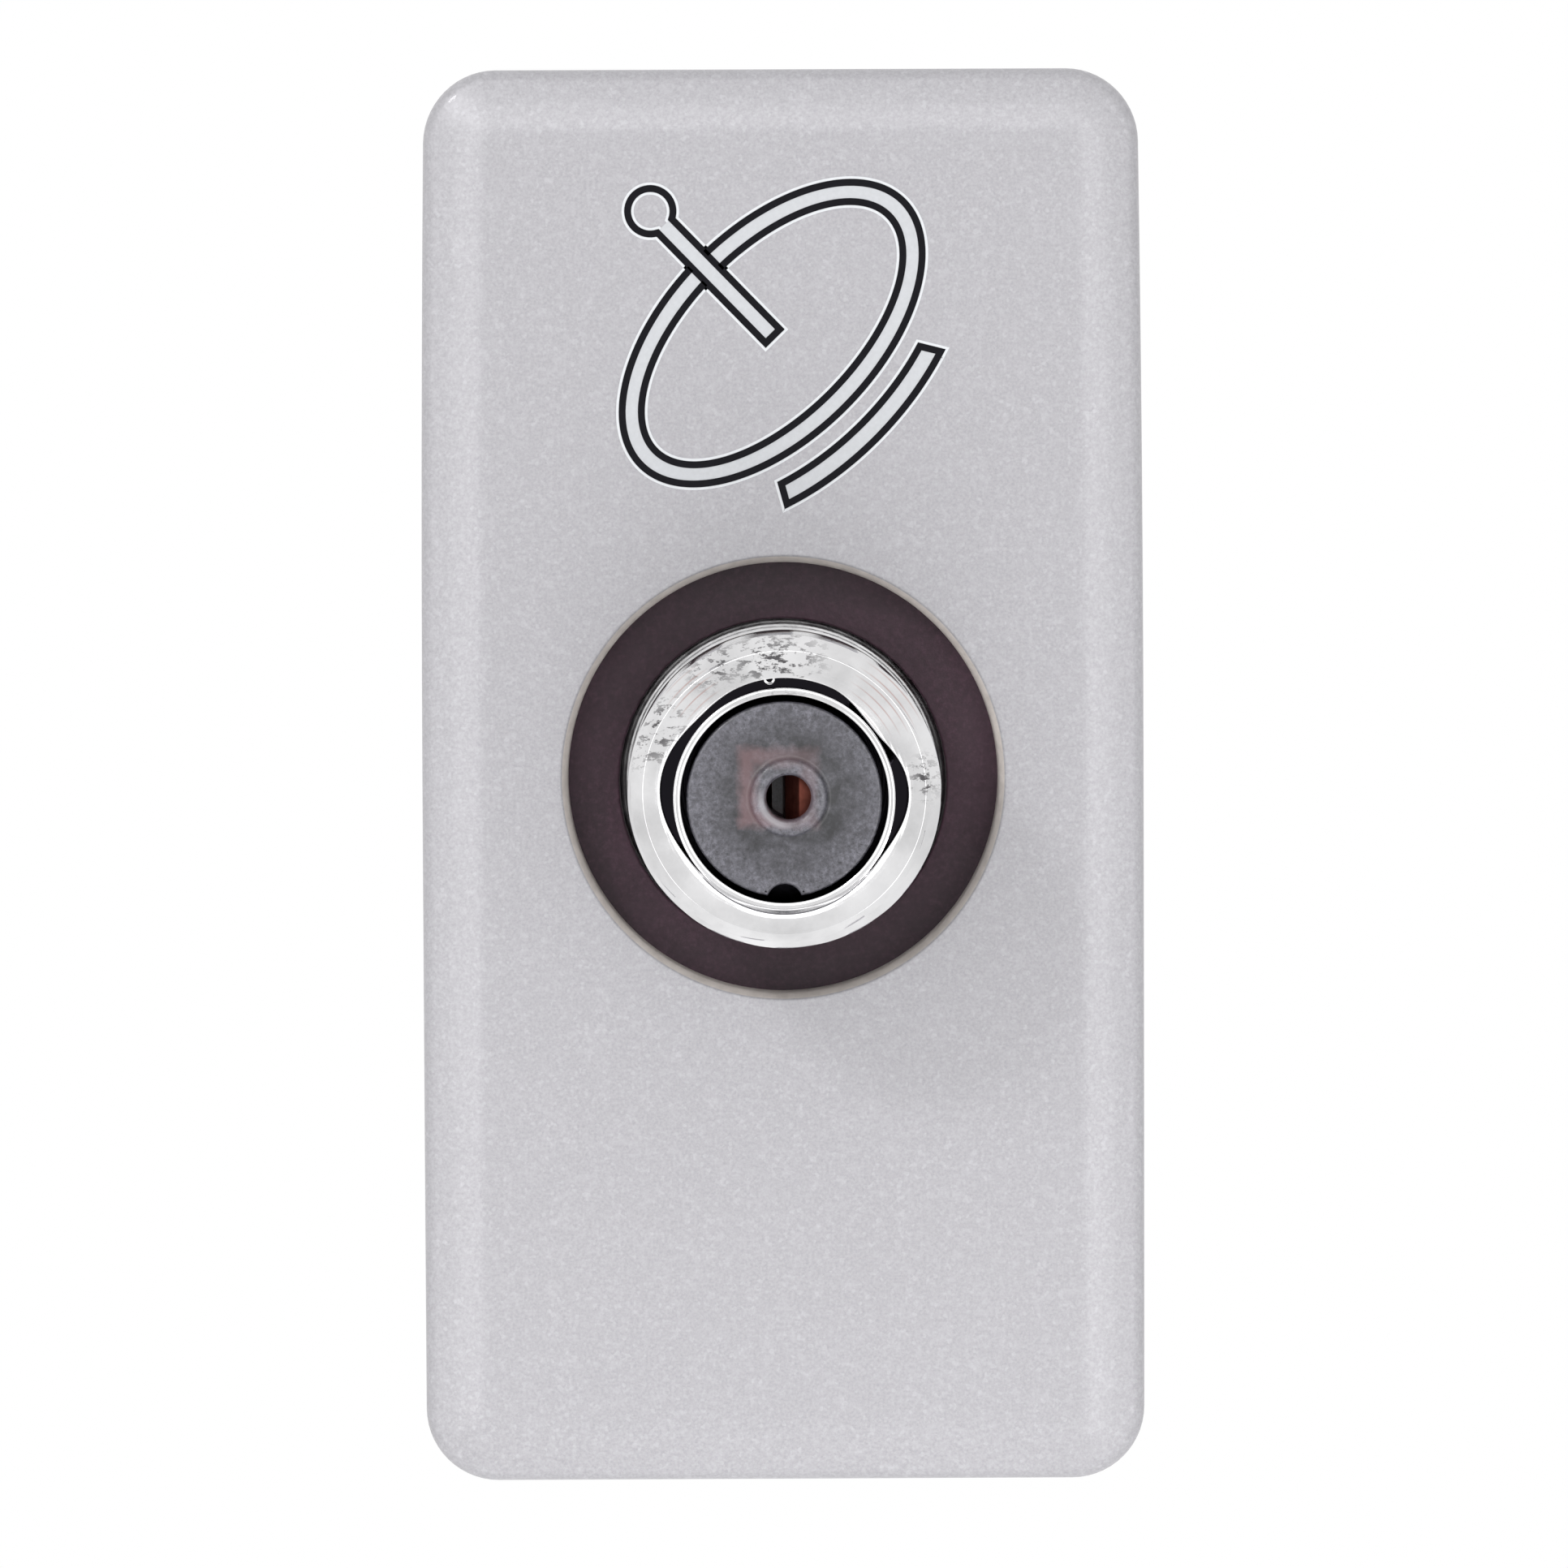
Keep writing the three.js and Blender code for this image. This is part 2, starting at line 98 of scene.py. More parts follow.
def rounded_path(points, seg=5, closed=False):
    """Points (x, y, radius): each corner with a radius becomes a short curve."""
    out, n = [], len(points)
    for i, p in enumerate(points):
        r = p[2] if len(p) > 2 else 0
        here = Vector(p[:2])
        if not r or (not closed and i in (0, n - 1)):
            out.append(tuple(here))
            continue
        a, b = Vector(points[i - 1][:2]), Vector(points[(i + 1) % n][:2])
        s = here + (a - here).normalized() * min(r, (a - here).length * 0.49)
        e = here + (b - here).normalized() * min(r, (b - here).length * 0.49)
        for k in range(seg + 1):
            t = k / seg
            out.append(tuple(s * (1 - t) ** 2 + here * 2 * t * (1 - t) + e * t * t))
    return out


def ring(bm, pts):
    return [bm.verts.new(p) for p in pts]


def skin(bm, a, b, mat=0):
    """Quads between two closed rings of the same length."""
    n = len(a)
    for i in range(n):
        f = bm.faces.new((a[i], a[(i + 1) % n], b[(i + 1) % n], b[i]))
        f.material_index = mat


def cap(bm, loop, mat=0):
    f = bm.faces.new(loop)
    f.material_index = mat
    return f


def fill_rings(bm, loops, mat=0):
    """Flat fill between closed loops, the first round the others."""
    edges = []
    for l in loops:
        for i in range(len(l)):
            a, b = l[i], l[(i + 1) % len(l)]
            edges.append(bm.edges.get((a, b)) or bm.edges.new((a, b)))
    got = bmesh.ops.triangle_fill(bm, use_beauty=True, edges=edges)
    for g in got["geom"]:
        if isinstance(g, bmesh.types.BMFace):
            g.material_index = mat


def circle(r, y, n, x=0.0, z=0.0, squash=None):
    return [(x + r * math.cos(2 * PI * i / n), y, z + r * math.sin(2 * PI * i / n)) for i in range(n)]


def lathe(bm, profile, n=96, x=0.0, z=0.0, closed=True, mat=0, mats=None):
    """Turns (radius, y) points about the Y axis through (x, z)."""
    rings = []
    for r, y in profile:
        rings.append([bm.verts.new((x, y, z))] if r < 1e-6 else ring(bm, circle(r, y, n, x, z)))
    pairs = list(zip(rings, rings[1:]))
    if closed and len(rings[0]) > 1 and len(rings[-1]) > 1:
        pairs.append((rings[-1], rings[0]))
    for k, (a, b) in enumerate(pairs):
        m = mats[k] if mats else mat
        if len(a) == 1 and len(b) == 1:
            continue
        if len(a) == 1:
            for i in range(n):
                bm.faces.new((a[0], b[(i + 1) % n], b[i])).material_index = m
        elif len(b) == 1:
            for i in range(n):
                bm.faces.new((a[i], a[(i + 1) % n], b[0])).material_index = m
        else:
            skin(bm, a, b, m)


def radial(bm, rows, n, x=0.0, z=0.0, mat=0, closed=True):
    """Rings whose radius and height may vary round the axis: rows of functions angle -> (radius, y)."""
    rings = []
    for f in rows:
        pts = []
        for i in range(n):
            t = 2 * PI * i / n
            r, y, *dz = f(t)
            pts.append((x + r * math.cos(t), y, z + r * math.sin(t) + (dz[0] if dz else 0)))
        rings.append(ring(bm, pts))
    for a, b in zip(rings, rings[1:]):
        skin(bm, a, b, mat)
    if closed:
        skin(bm, rings[-1], rings[0], mat)
    return rings


def thread_r(y, t, major, depth, pitch, phase=0.0):
    """Radius of a right-handed 60 degree thread at height y and angle t."""
    p = (y / pitch + t / (2 * PI) + phase) % 1.0
    v = abs(2 * p - 1)
    k = min(max((v - 0.13) / 0.76, 0.0), 1.0)
    k = k * k * (3 - 2 * k) * 0.35 + k * 0.65
    return major - depth * (1 - k)


def box_bm(bm, x0, x1, y0, y1, z0, z1, mat=0):
    v = [bm.verts.new((x, y, z)) for x in (x0, x1) for y in (y0, y1) for z in (z0, z1)]
    for q in ((0, 1, 3, 2), (4, 6, 7, 5), (0, 4, 5, 1), (2, 3, 7, 6), (0, 2, 6, 4), (1, 5, 7, 3)):
        bm.faces.new([v[i] for i in q]).material_index = mat
    return v


def prism(bm, outline, y0, y1, mat=0, axis="Y"):
    """A closed outline of (x, z) pairs drawn along Y; axis X takes (y, z) pairs along X, axis Z takes (x, y) along Z."""
    def at(p, d):
        return {"Y": (p[0], d, p[1]), "X": (d, p[0], p[1]), "Z": (p[0], p[1], d)}[axis]
    a, b = ring(bm, [at(p, y0) for p in outline]), ring(bm, [at(p, y1) for p in outline])
    skin(bm, a, b, mat)
    cap(bm, a, mat)
    cap(bm, list(reversed(b)), mat)
    return a, b


def round_edges(bm, width, angle=35, seg=2, only=None, clamp=True):
    """Bevels the edges sharper than angle."""
    bmesh.ops.recalc_face_normals(bm, faces=bm.faces)
    es = [e for e in bm.edges if len(e.link_faces) == 2 and e.calc_face_angle(0) > math.radians(angle) and (only is None or only(e))]
    if es:
        bmesh.ops.bevel(bm, geom=es, offset=width, offset_type="OFFSET", segments=seg, profile=0.5, affect="EDGES", clamp_overlap=clamp)


def merged(objs_bm, bm):
    """Adds a bmesh's geometry into another."""
    me = bpy.data.meshes.new("tmp")
    objs_bm.to_mesh(me)
    objs_bm.free()
    bm.from_mesh(me)
    bpy.data.meshes.remove(me)


def boolean(bm_a, bm_b, op="DIFFERENCE"):
    """Exact boolean of two bmeshes in millimetres; gives a new bmesh."""
    obs = []
    for i, b in enumerate((bm_a, bm_b)):
        bmesh.ops.recalc_face_normals(b, faces=b.faces)
        me = bpy.data.meshes.new(f"bool{i}")
        b.to_mesh(me)
        b.free()
        ob = bpy.data.objects.new(f"bool{i}", me)
        bpy.context.scene.collection.objects.link(ob)
        obs.append(ob)
    mod = obs[0].modifiers.new("b", "BOOLEAN")
    mod.operation, mod.solver, mod.object = op, "EXACT", obs[1]
    dg = bpy.context.evaluated_depsgraph_get()
    out = bmesh.new()
    out.from_mesh(obs[0].evaluated_get(dg).to_mesh())
    obs[0].evaluated_get(dg).to_mesh_clear()
    for ob in obs:
        me = ob.data
        bpy.data.objects.remove(ob)
        bpy.data.meshes.remove(me)
    return out


def from_node(node):
    """The CAD node's mesh as a clean bmesh in millimetres, its flat areas merged into single faces."""
    bm = bmesh.new()
    bm.from_mesh(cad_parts[node].data)
    bmesh.ops.scale(bm, vec=(1000, 1000, 1000), verts=bm.verts)
    bmesh.ops.remove_doubles(bm, verts=bm.verts, dist=0.002)
    bmesh.ops.dissolve_limit(bm, angle_limit=math.radians(0.6), verts=bm.verts, edges=bm.edges)
    return bm


def refined(node, name, mats, body, width=0.15, angle=40, seg=2, smooth=40):
    """A copy of the CAD node with its edges rounded, standing for it."""
    bm = from_node(node)
    round_edges(bm, width, angle, seg)
    return finish_mesh(bm, name, mats, body, (node,), smooth=smooth)


def ribbon(bm, pts, w, d0, d1, closed=False, mat=0, plane="XZ"):
    """A flat strip of width w along 2D points; plane XZ is drawn from y=d0 to y=d1, plane XY from z=d0 to z=d1."""
    P = [Vector(p) for p in pts]
    P = [p for i, p in enumerate(P) if i == 0 or (p - P[i - 1]).length > 1e-6]
    n = len(P)
    L, R = [], []
    for i in range(n):
        if closed:
            a, b = P[i - 1], P[(i + 1) % n]
        else:
            a, b = P[max(i - 1, 0)], P[min(i + 1, n - 1)]
        t0 = (P[i] - a).normalized() if (P[i] - a).length > 1e-9 else None
        t1 = (b - P[i]).normalized() if (b - P[i]).length > 1e-9 else None
        t0, t1 = t0 or t1, t1 or t0
        t = (t0 + t1).normalized()
        nrm = Vector((-t.y, t.x))
        scale = 1 / max(0.35, nrm.dot(Vector((-t0.y, t0.x))))
        L.append(P[i] + nrm * w / 2 * scale)
        R.append(P[i] - nrm * w / 2 * scale)

    def at(p, d):
        return (p.x, d, p.y) if plane == "XZ" else (p.x, p.y, d)
    q = [[bm.verts.new(at(p, d)) for p in side] for side, d in ((L, d0), (L, d1), (R, d1), (R, d0))]
    for i in range(n if closed else n - 1):
        j = (i + 1) % n
        for k in range(4):
            a, b = q[k], q[(k + 1) % 4]
            bm.faces.new((a[i], a[j], b[j], b[i])).material_index = mat
    if not closed:
        for i in (0, n - 1):
            bm.faces.new([q[k][i] for k in range(4)]).material_index = mat


def wire(bm, pts, r, n=10, mat=0, ends=True):
    """A round wire along 3D points."""
    P = [Vector(p) for p in pts]
    up = None
    rings = []
    for i, p in enumerate(P):
        t = (P[min(i + 1, len(P) - 1)] - P[max(i - 1, 0)]).normalized()
        if up is None:
            up = t.orthogonal().normalized()
        side = t.cross(up).normalized()
        up = side.cross(t).normalized()
        rings.append(ring(bm, [p + (side * math.cos(2 * PI * k / n) + up * math.sin(2 * PI * k / n)) * r for k in range(n)]))
    for a, b in zip(rings, rings[1:]):
        skin(bm, a, b, mat)
    if ends:
        cap(bm, list(reversed(rings[0])), mat)
        cap(bm, rings[-1], mat)


def catmull(pts, per=8):
    P = [Vector(p) for p in pts]
    out = []
    for i in range(len(P) - 1):
        a, b, c, d = P[max(i - 1, 0)], P[i], P[i + 1], P[min(i + 2, len(P) - 1)]
        for k in range(per):
            t = k / per
            out.append(0.5 * ((2 * b) + (c - a) * t + (2 * a - 5 * b + 4 * c - d) * t * t + (3 * b - a - 3 * c + d) * t ** 3))
    out.append(P[-1])
    return out


# ------------------------------------------------------------------ material helpers


class Nodes:
    def __init__(self, name):
        self.mat = bpy.data.materials.new(name)
        self.mat.use_nodes = True
        self.t = self.mat.node_tree
        self.t.nodes.clear()
        self.out = self.t.nodes.new("ShaderNodeOutputMaterial")
        self.bsdf = self.t.nodes.new("ShaderNodeBsdfPrincipled")
        self.t.links.new(self.bsdf.outputs[0], self.out.inputs["Surface"])
        self.coord = self.t.nodes.new("ShaderNodeTexCoord").outputs["Object"]

    def link(self, a, b):
        self.t.links.new(a, b)

    def set(self, **kw):
        for k, v in kw.items():
            self.bsdf.inputs[k.replace("_", " ")].default_value = v
        return self

    def mapped(self, scale=(1, 1, 1), loc=(0, 0, 0), rot=(0, 0, 0), kind="POINT"):
        m = self.t.nodes.new("ShaderNodeMapping")
        m.vector_type = kind
        m.inputs["Location"].default_value = loc
        m.inputs["Rotation"].default_value = rot
        m.inputs["Scale"].default_value = scale
        self.link(self.coord, m.inputs["Vector"])
        return m.outputs[0]

    def noise(self, scale, detail=4, rough=0.55, vec=None, distortion=0.0):
        n = self.t.nodes.new("ShaderNodeTexNoise")
        n.inputs["Scale"].default_value = scale
        n.inputs["Detail"].default_value = detail
        n.inputs["Roughness"].default_value = rough
        n.inputs["Distortion"].default_value = distortion
        self.link(vec or self.coord, n.inputs["Vector"])
        return n.outputs["Fac"]

    def voronoi(self, scale, vec=None, feature="F1", out="Distance"):
        n = self.t.nodes.new("ShaderNodeTexVoronoi")
        n.feature = feature
        n.inputs["Scale"].default_value = scale
        self.link(vec or self.coord, n.inputs["Vector"])
        return n.outputs[out]

    def wave(self, scale, kind="RINGS", direction="Y", vec=None, distortion=0.0, dscale=1.0, detail=2.0):
        n = self.t.nodes.new("ShaderNodeTexWave")
        n.wave_type = kind
        if kind == "RINGS":
            n.rings_direction = direction
        else:
            n.bands_direction = direction
        n.inputs["Scale"].default_value = scale
        n.inputs["Distortion"].default_value = distortion
        n.inputs["Detail"].default_value = detail
        n.inputs["Detail Scale"].default_value = dscale
        self.link(vec or self.coord, n.inputs["Vector"])
        return n.outputs["Fac"]

    def ramp(self, fac, stops):
        n = self.t.nodes.new("ShaderNodeValToRGB")
        e = n.color_ramp.elements
        while len(e) < len(stops):
            e.new(0.5)
        for i, (p, c) in enumerate(stops):
            e[i].position = p
            e[i].color = (*c, 1) if len(c) == 3 else c
        self.link(fac, n.inputs["Fac"])
        return n.outputs["Color"]

    def range(self, fac, a, b, lo_=0.0, hi_=1.0):
        n = self.t.nodes.new("ShaderNodeMapRange")
        n.inputs["From Min"].default_value = lo_
        n.inputs["From Max"].default_value = hi_
        n.inputs["To Min"].default_value = a
        n.inputs["To Max"].default_value = b
        self.link(fac, n.inputs["Value"])
        return n.outputs[0]

    def mix(self, fac, a, b, blend="MIX"):
        n = self.t.nodes.new("ShaderNodeMix")
        n.data_type = "RGBA"
        n.blend_type = blend
        for sock, v in (("A", a), ("B", b)):
            s = next(i for i in n.inputs if i.name == sock and i.type == "RGBA")
            if isinstance(v, tuple):
                s.default_value = (*v, 1) if len(v) == 3 else v
            else:
                self.link(v, s)
        f = n.inputs[0]
        if isinstance(fac, (int, float)):
            f.default_value = fac
        else:
            self.link(fac, f)
        return next(o for o in n.outputs if o.type == "RGBA")

    def math(self, op, a, b=None):
        n = self.t.nodes.new("ShaderNodeMath")
        n.operation = op
        for i, v in enumerate((a, b)):
            if v is None:
                continue
            if isinstance(v, (int, float)):
                n.inputs[i].default_value = v
            else:
                self.link(v, n.inputs[i])
        return n.outputs[0]

    def bump(self, height, strength, distance=0.0001, into=None):
        n = self.t.nodes.new("ShaderNodeBump")
        n.inputs["Strength"].default_value = strength
        n.inputs["Distance"].default_value = distance
        self.link(height, n.inputs["Height"])
        if into is not None:
            self.link(into, n.inputs["Normal"])
        return n.outputs[0]

    def colour(self, c):
        self.link(c, self.bsdf.inputs["Base Color"])
        return self

    def rough(self, r):
        self.link(r, self.bsdf.inputs["Roughness"])
        return self

    def normal(self, n):
        self.link(n, self.bsdf.inputs["Normal"])
        return self


def srgb(r, g, b):
    def f(c):
        c /= 255
        return c / 12.92 if c <= 0.04045 else ((c + 0.055) / 1.055) ** 2.4
    return (f(r), f(g), f(b))


def scaled(c, k):
    return tuple(min(1.0, x * k) for x in c)


def lacquer():
    n = Nodes("titanium_lacquer")
    base = (0.336, 0.330, 0.348)
    fine = n.noise(11000, 3, 0.7)
    flake = n.voronoi(9000, out="Color")
    cloud = n.noise(260, 3, 0.5)
    c = n.ramp(fine, [(0.30, scaled(base, 0.87)), (0.5, base), (0.72, scaled(base, 1.15))])
    mid = n.noise(4600, 2, 0.6)
    c = n.mix(n.range(mid, 0.0, 0.5, 0.48, 0.74), c, scaled(base, 1.22))
    c = n.mix(n.range(cloud, 0.0, 0.10), c, scaled(base, 1.25))
    sep = n.t.nodes.new("ShaderNodeSeparateColor")
    n.link(flake, sep.inputs[0])
    spark = n.range(sep.outputs[0], 0.0, 1.0, 0.84, 0.96)
    c = n.mix(n.math("MULTIPLY", spark, 0.07), c, (0.80, 0.80, 0.84))
    n.colour(c)
    n.rough(n.range(fine, 0.36, 0.50))
    n.set(Metallic=0.30, Coat_Weight=0.20, Coat_Roughness=0.05, Specular_IOR_Level=0.5)
    b1 = n.bump(n.noise(5200, 2, 0.5), 0.05, 0.00004)
    n.normal(n.bump(n.noise(900, 2, 0.5), 0.04, 0.0001, into=b1))
    return n.mat


def bare_plastic():
    n = Nodes("cover_bare_plastic")
    c = n.ramp(n.noise(3000, 4), [(0.3, (0.42, 0.385, 0.36)), (0.7, (0.52, 0.48, 0.45))])
    n.colour(c).rough(n.range(n.noise(5000, 2), 0.42, 0.6))
    n.normal(n.bump(n.noise(4000, 3), 0.10, 0.00004))
    return n.mat


def dark_plastic(name="dark_plastic", k=1.0, tex=0.25):
    n = Nodes(name)
    base = scaled((0.035, 0.0150, 0.0245), k)
    g = n.noise(6500, 5, 0.65)
    c = n.ramp(g, [(0.3, scaled(base, 0.7)), (0.52, base), (0.75, scaled(base, 1.7))])
    c = n.mix(n.range(n.noise(350, 3), 0.0, 0.35, 0.35, 0.8), c, scaled(base, 1.9))
    n.colour(c).rough(n.range(n.noise(2400, 3), 0.46, 0.64))
    n.set(Specular_IOR_Level=0.42)
    b = n.bump(n.voronoi(5200), tex * 0.5, 0.00003)
    n.normal(n.bump(g, tex, 0.00004, into=b))
    return n.mat


def nickel(name="nickel", lines=1.0, rough=(0.07, 0.2), base=(0.745, 0.742, 0.75)):
    n = Nodes(name)
    v = n.mapped(loc=(0, 0, -ZC * MM))
    turned = n.wave(2600, "RINGS", "Y", vec=v, distortion=0.6, dscale=4.0)
    stain = n.noise(420, 5, 0.6)
    c = n.ramp(stain, [(0.32, scaled(base, 0.80)), (0.55, base), (0.75, scaled(base, 1.12))])
    if lines:
        sep = n.t.nodes.new("ShaderNodeSeparateXYZ")
        n.link(v, sep.inputs[0])
        front = n.range(sep.outputs[1], 1.0, 0.0, (TIP_Y + 0.1) * MM, (TIP_Y + 0.8) * MM)

        def near(x, z, r):
            m = n.mapped(loc=(-x * MM, 0, -(ZC + z) * MM), scale=(1, 0, 1))
            ln = n.t.nodes.new("ShaderNodeVectorMath")
            ln.operation = "LENGTH"
            n.link(m, ln.inputs[0])
            return n.range(ln.outputs["Value"], 1.0, 0.0, r * 0.35 * MM, r * MM)
        zone = n.math("MAXIMUM", n.math("MAXIMUM", near(-0.3, 4.35, 1.9), near(-4.15, 2.0, 1.6)), n.math("MAXIMUM", near(4.45, 0.45, 0.9), near(-2.2, 4.1, 1.2)))
        streak = n.noise(1.0, 4, 0.7, vec=n.mapped(scale=(2300, 2300, 4600)))
        m = n.mapped(loc=(0, 0, -ZC * MM), scale=(1, 0, 1))
        ln = n.t.nodes.new("ShaderNodeVectorMath")
        ln.operation = "LENGTH"
        n.link(m, ln.inputs[0])
        # painted shade: inside the countersink, the recess floor and lip lying more than about 0.3 mm behind the end
        # face are painted near black
        within = n.range(ln.outputs["Value"], 1.0, 0.0, 3.80 * MM, 3.84 * MM)
        sunk = n.math("MULTIPLY", within, n.range(sep.outputs[1], 0.0, 1.0, (TIP_Y + 0.27) * MM, (TIP_Y + 0.36) * MM))
        pits = n.math("MULTIPLY", n.range(streak, 0.0, 1.0, 0.53, 0.585), n.math("MULTIPLY", zone, front))
        c = n.mix(n.math("MULTIPLY", pits, 0.9), c, (0.05, 0.045, 0.05))
        rings = n.wave(1250, "RINGS", "Y", vec=v, distortion=1.2, dscale=700)
        wear = n.math("MULTIPLY", n.range(rings, 0.0, 1.0, 0.90, 0.99), n.math("MAXIMUM", near(-2.75, 3.0, 0.9), near(3.2, 2.9, 1.3)))
        c = n.mix(n.math("MULTIPLY", wear, 0.5), c, (0.42, 0.18, 0.14))
        # the near-black painted shade of the recess
        c = n.mix(sunk, c, (0.012, 0.011, 0.014))
    n.colour(c)
    r = n.range(n.noise(1500, 4, 0.6), rough[0], rough[1], 0.3, 0.75)
    n.rough(r)
    n.set(Metallic=1.0)
    b = n.bump(turned, 0.05 * lines, 0.00002)
    n.normal(n.bump(n.noise(2800, 3, 0.6), 0.06, 0.00003, into=b))
    return n.mat


def casting(name="zinc_casting", base=(0.50, 0.50, 0.515)):
    n = Nodes(name)
    mottled = n.noise(300, 6, 0.62, distortion=0.6)
    fine = n.noise(4200, 4, 0.7)
    c = n.ramp(mottled, [(0.25, scaled(base, 0.86)), (0.48, scaled(base, 0.97)), (0.62, base), (0.82, scaled(base, 1.07))])
    c = n.mix(n.range(fine, 0.0, 0.30, 0.42, 0.72), c, scaled(base, 0.62))
    n.colour(c).rough(n.range(mottled, 0.34, 0.58, 0.25, 0.8))
    n.set(Metallic=0.88)
    b = n.bump(n.noise(2200, 5, 0.7), 0.22, 0.00005)
    n.normal(n.bump(n.noise(700, 3), 0.14, 0.0002, into=b))
    return n.mat


def zinc_steel(name="zinc_steel", tint=0.0):
    n = Nodes(name)
    s = n.noise(520, 5, 0.6, distortion=0.8)
    c = n.ramp(s, [(0.30, (0.50, 0.52, 0.57)), (0.5, (0.66, 0.665, 0.68)), (0.7, (0.74, 0.72, 0.66))])
    n.colour(c).rough(n.range(n.noise(2600, 4), 0.22, 0.40))
    n.set(Metallic=1.0)
    n.normal(n.bump(n.noise(3800, 4, 0.65), 0.12, 0.00003))
    return n.mat


def smoke(tint_at, ring_at):
    """Smoky insulator with fine speckle, tinted where the contact behind shows through, with a painted highlight on the
    lower left of the collar round the pin hole.
    """
    n = Nodes("smoke_plastic")
    base = (0.108, 0.106, 0.125)
    sp = n.noise(7000, 5, 0.8)
    c = n.ramp(sp, [(0.34, scaled(base, 0.22)), (0.45, scaled(base, 0.72)), (0.56, scaled(base, 1.12)), (0.70, scaled(base, 1.9))])
    c = n.mix(n.range(n.noise(900, 3), 0.0, 0.55, 0.35, 0.75), c, scaled(base, 0.72))
    c = n.mix(n.range(n.noise(3200, 4, 0.75), 0.0, 0.6, 0.50, 0.62), c, scaled(base, 0.35))

    def offset(x, z):
        v = n.mapped(loc=(-x * MM, 0, -z * MM), scale=(1, 0, 1))
        ln = n.t.nodes.new("ShaderNodeVectorMath")
        ln.operation = "LENGTH"
        n.link(v, ln.inputs[0])
        return ln.outputs["Value"]
    from_collar = offset(*ring_at)
    rim_ = n.math("MULTIPLY", n.range(from_collar, 0.0, 1.0, 0.00110, 0.00122), n.range(from_collar, 1.0, 0.0, 0.0017, 0.0027))
    cloud = n.range(n.noise(1300, 4, 0.6), 0.40, 1.0, 0.35, 0.60)
    c = n.mix(n.math("MULTIPLY", rim_, cloud), c, scaled(base, 0.12))
    # square frame of the contact, seen through the front wall
    m = n.mapped(loc=(-tint_at[0] * MM, 0, -tint_at[1] * MM))
    sep = n.t.nodes.new("ShaderNodeSeparateXYZ")
    n.link(m, sep.inputs[0])
    ax, az = n.math("ABSOLUTE", sep.outputs[0]), n.math("ABSOLUTE", sep.outputs[2])
    d = n.math("MAXIMUM", ax, az)
    wob = n.range(n.noise(2600, 3), -0.00022, 0.00022)
    d = n.math("ADD", d, wob)
    inside = n.range(d, 1.0, 0.0, 0.00105, 0.00132)
    hollow = n.range(d, 0.0, 1.0, 0.00052, 0.00085)
    fr = n.math("MULTIPLY", inside, hollow)
    left = n.range(sep.outputs[0], 0.95, 0.38, -0.0012, 0.0012)
    fr = n.math("MULTIPLY", n.math("MULTIPLY", fr, left), 0.55)
    c = n.mix(fr, c, (0.185, 0.100, 0.108))
    # painted highlight: a lighter grey crescent on the collar round the pin hole, strongest at its lower left
    band = n.math("MULTIPLY", n.range(from_collar, 0.0, 1.0, 0.00070, 0.00078), n.range(from_collar, 1.0, 0.0, 0.00086, 0.00100))
    side = n.range(offset(ring_at[0] - 0.60, ring_at[1] - 0.55), 1.0, 0.0, 0.00045, 0.00090)
    c = n.mix(n.math("MULTIPLY", n.math("MULTIPLY", band, side), 0.6), c, (0.33, 0.32, 0.34))
    n.colour(c).rough(n.range(sp, 0.30, 0.48))
    n.set(Specular_IOR_Level=0.45, Coat_Weight=0.30, Coat_Roughness=0.14)
    n.normal(n.bump(n.noise(5200, 4, 0.7), 0.22, 0.00003))
    return n.mat


def bronze(name="phosphor_bronze", base=(0.165, 0.052, 0.038)):
    n = Nodes(name)
    s = n.noise(1100, 5, 0.6)
    c = n.ramp(s, [(0.3, scaled(base, 0.55)), (0.55, base), (0.8, scaled(base, 1.3))])
    n.colour(c).rough(n.range(n.noise(4000, 3), 0.22, 0.42))
    n.set(Metallic=1.0)
    n.normal(n.bump(n.wave(3500, "BANDS", "Y", distortion=1.0), 0.05, 0.00002))
    return n.mat


def brass():
    n = Nodes("brass")
    base = (0.70, 0.48, 0.19)
    s = n.noise(600, 5, 0.6)
    c = n.ramp(s, [(0.3, scaled(base, 0.72)), (0.55, base), (0.78, scaled(base, 1.18))])
    n.colour(c).rough(n.range(n.noise(3000, 4), 0.18, 0.36))
    n.set(Metallic=1.0)
    m = n.bump(n.wave(2400, "BANDS", "Z", distortion=0.7, dscale=3), 0.06, 0.00002)
    n.normal(n.bump(n.noise(3600, 3), 0.08, 0.00003, into=m))
    return n.mat


def white_plastic():
    n = Nodes("white_plastic")
    base = (0.74, 0.71, 0.63)
    g = n.noise(3200, 4)
    c = n.ramp(g, [(0.3, scaled(base, 0.88)), (0.7, scaled(base, 1.05))])
    n.colour(c).rough(n.range(g, 0.38, 0.55))
    n.set(Subsurface_Weight=0.08, Subsurface_Radius=(0.0006, 0.0005, 0.0004), Subsurface_Scale=1.0)
    n.normal(n.bump(n.noise(5200, 3), 0.12, 0.00003))
    return n.mat


def board_mat():
    n = Nodes("board")
    base = (0.018, 0.135, 0.062)
    weave = n.math("MULTIPLY", n.wave(1500, "BANDS", "X"), n.wave(1500, "BANDS", "Z"))
    c = n.mix(n.range(weave, 0.0, 0.22), base, scaled(base, 1.8))
    c = n.mix(n.range(n.noise(500, 4), 0.0, 0.4, 0.4, 0.7), c, scaled(base, 0.7))
    n.colour(c).rough(n.range(n.noise(2600, 3), 0.26, 0.42))
    n.set(Coat_Weight=0.3, Coat_Roughness=0.15)
    n.normal(n.bump(weave, 0.06, 0.00002))
    return n.mat


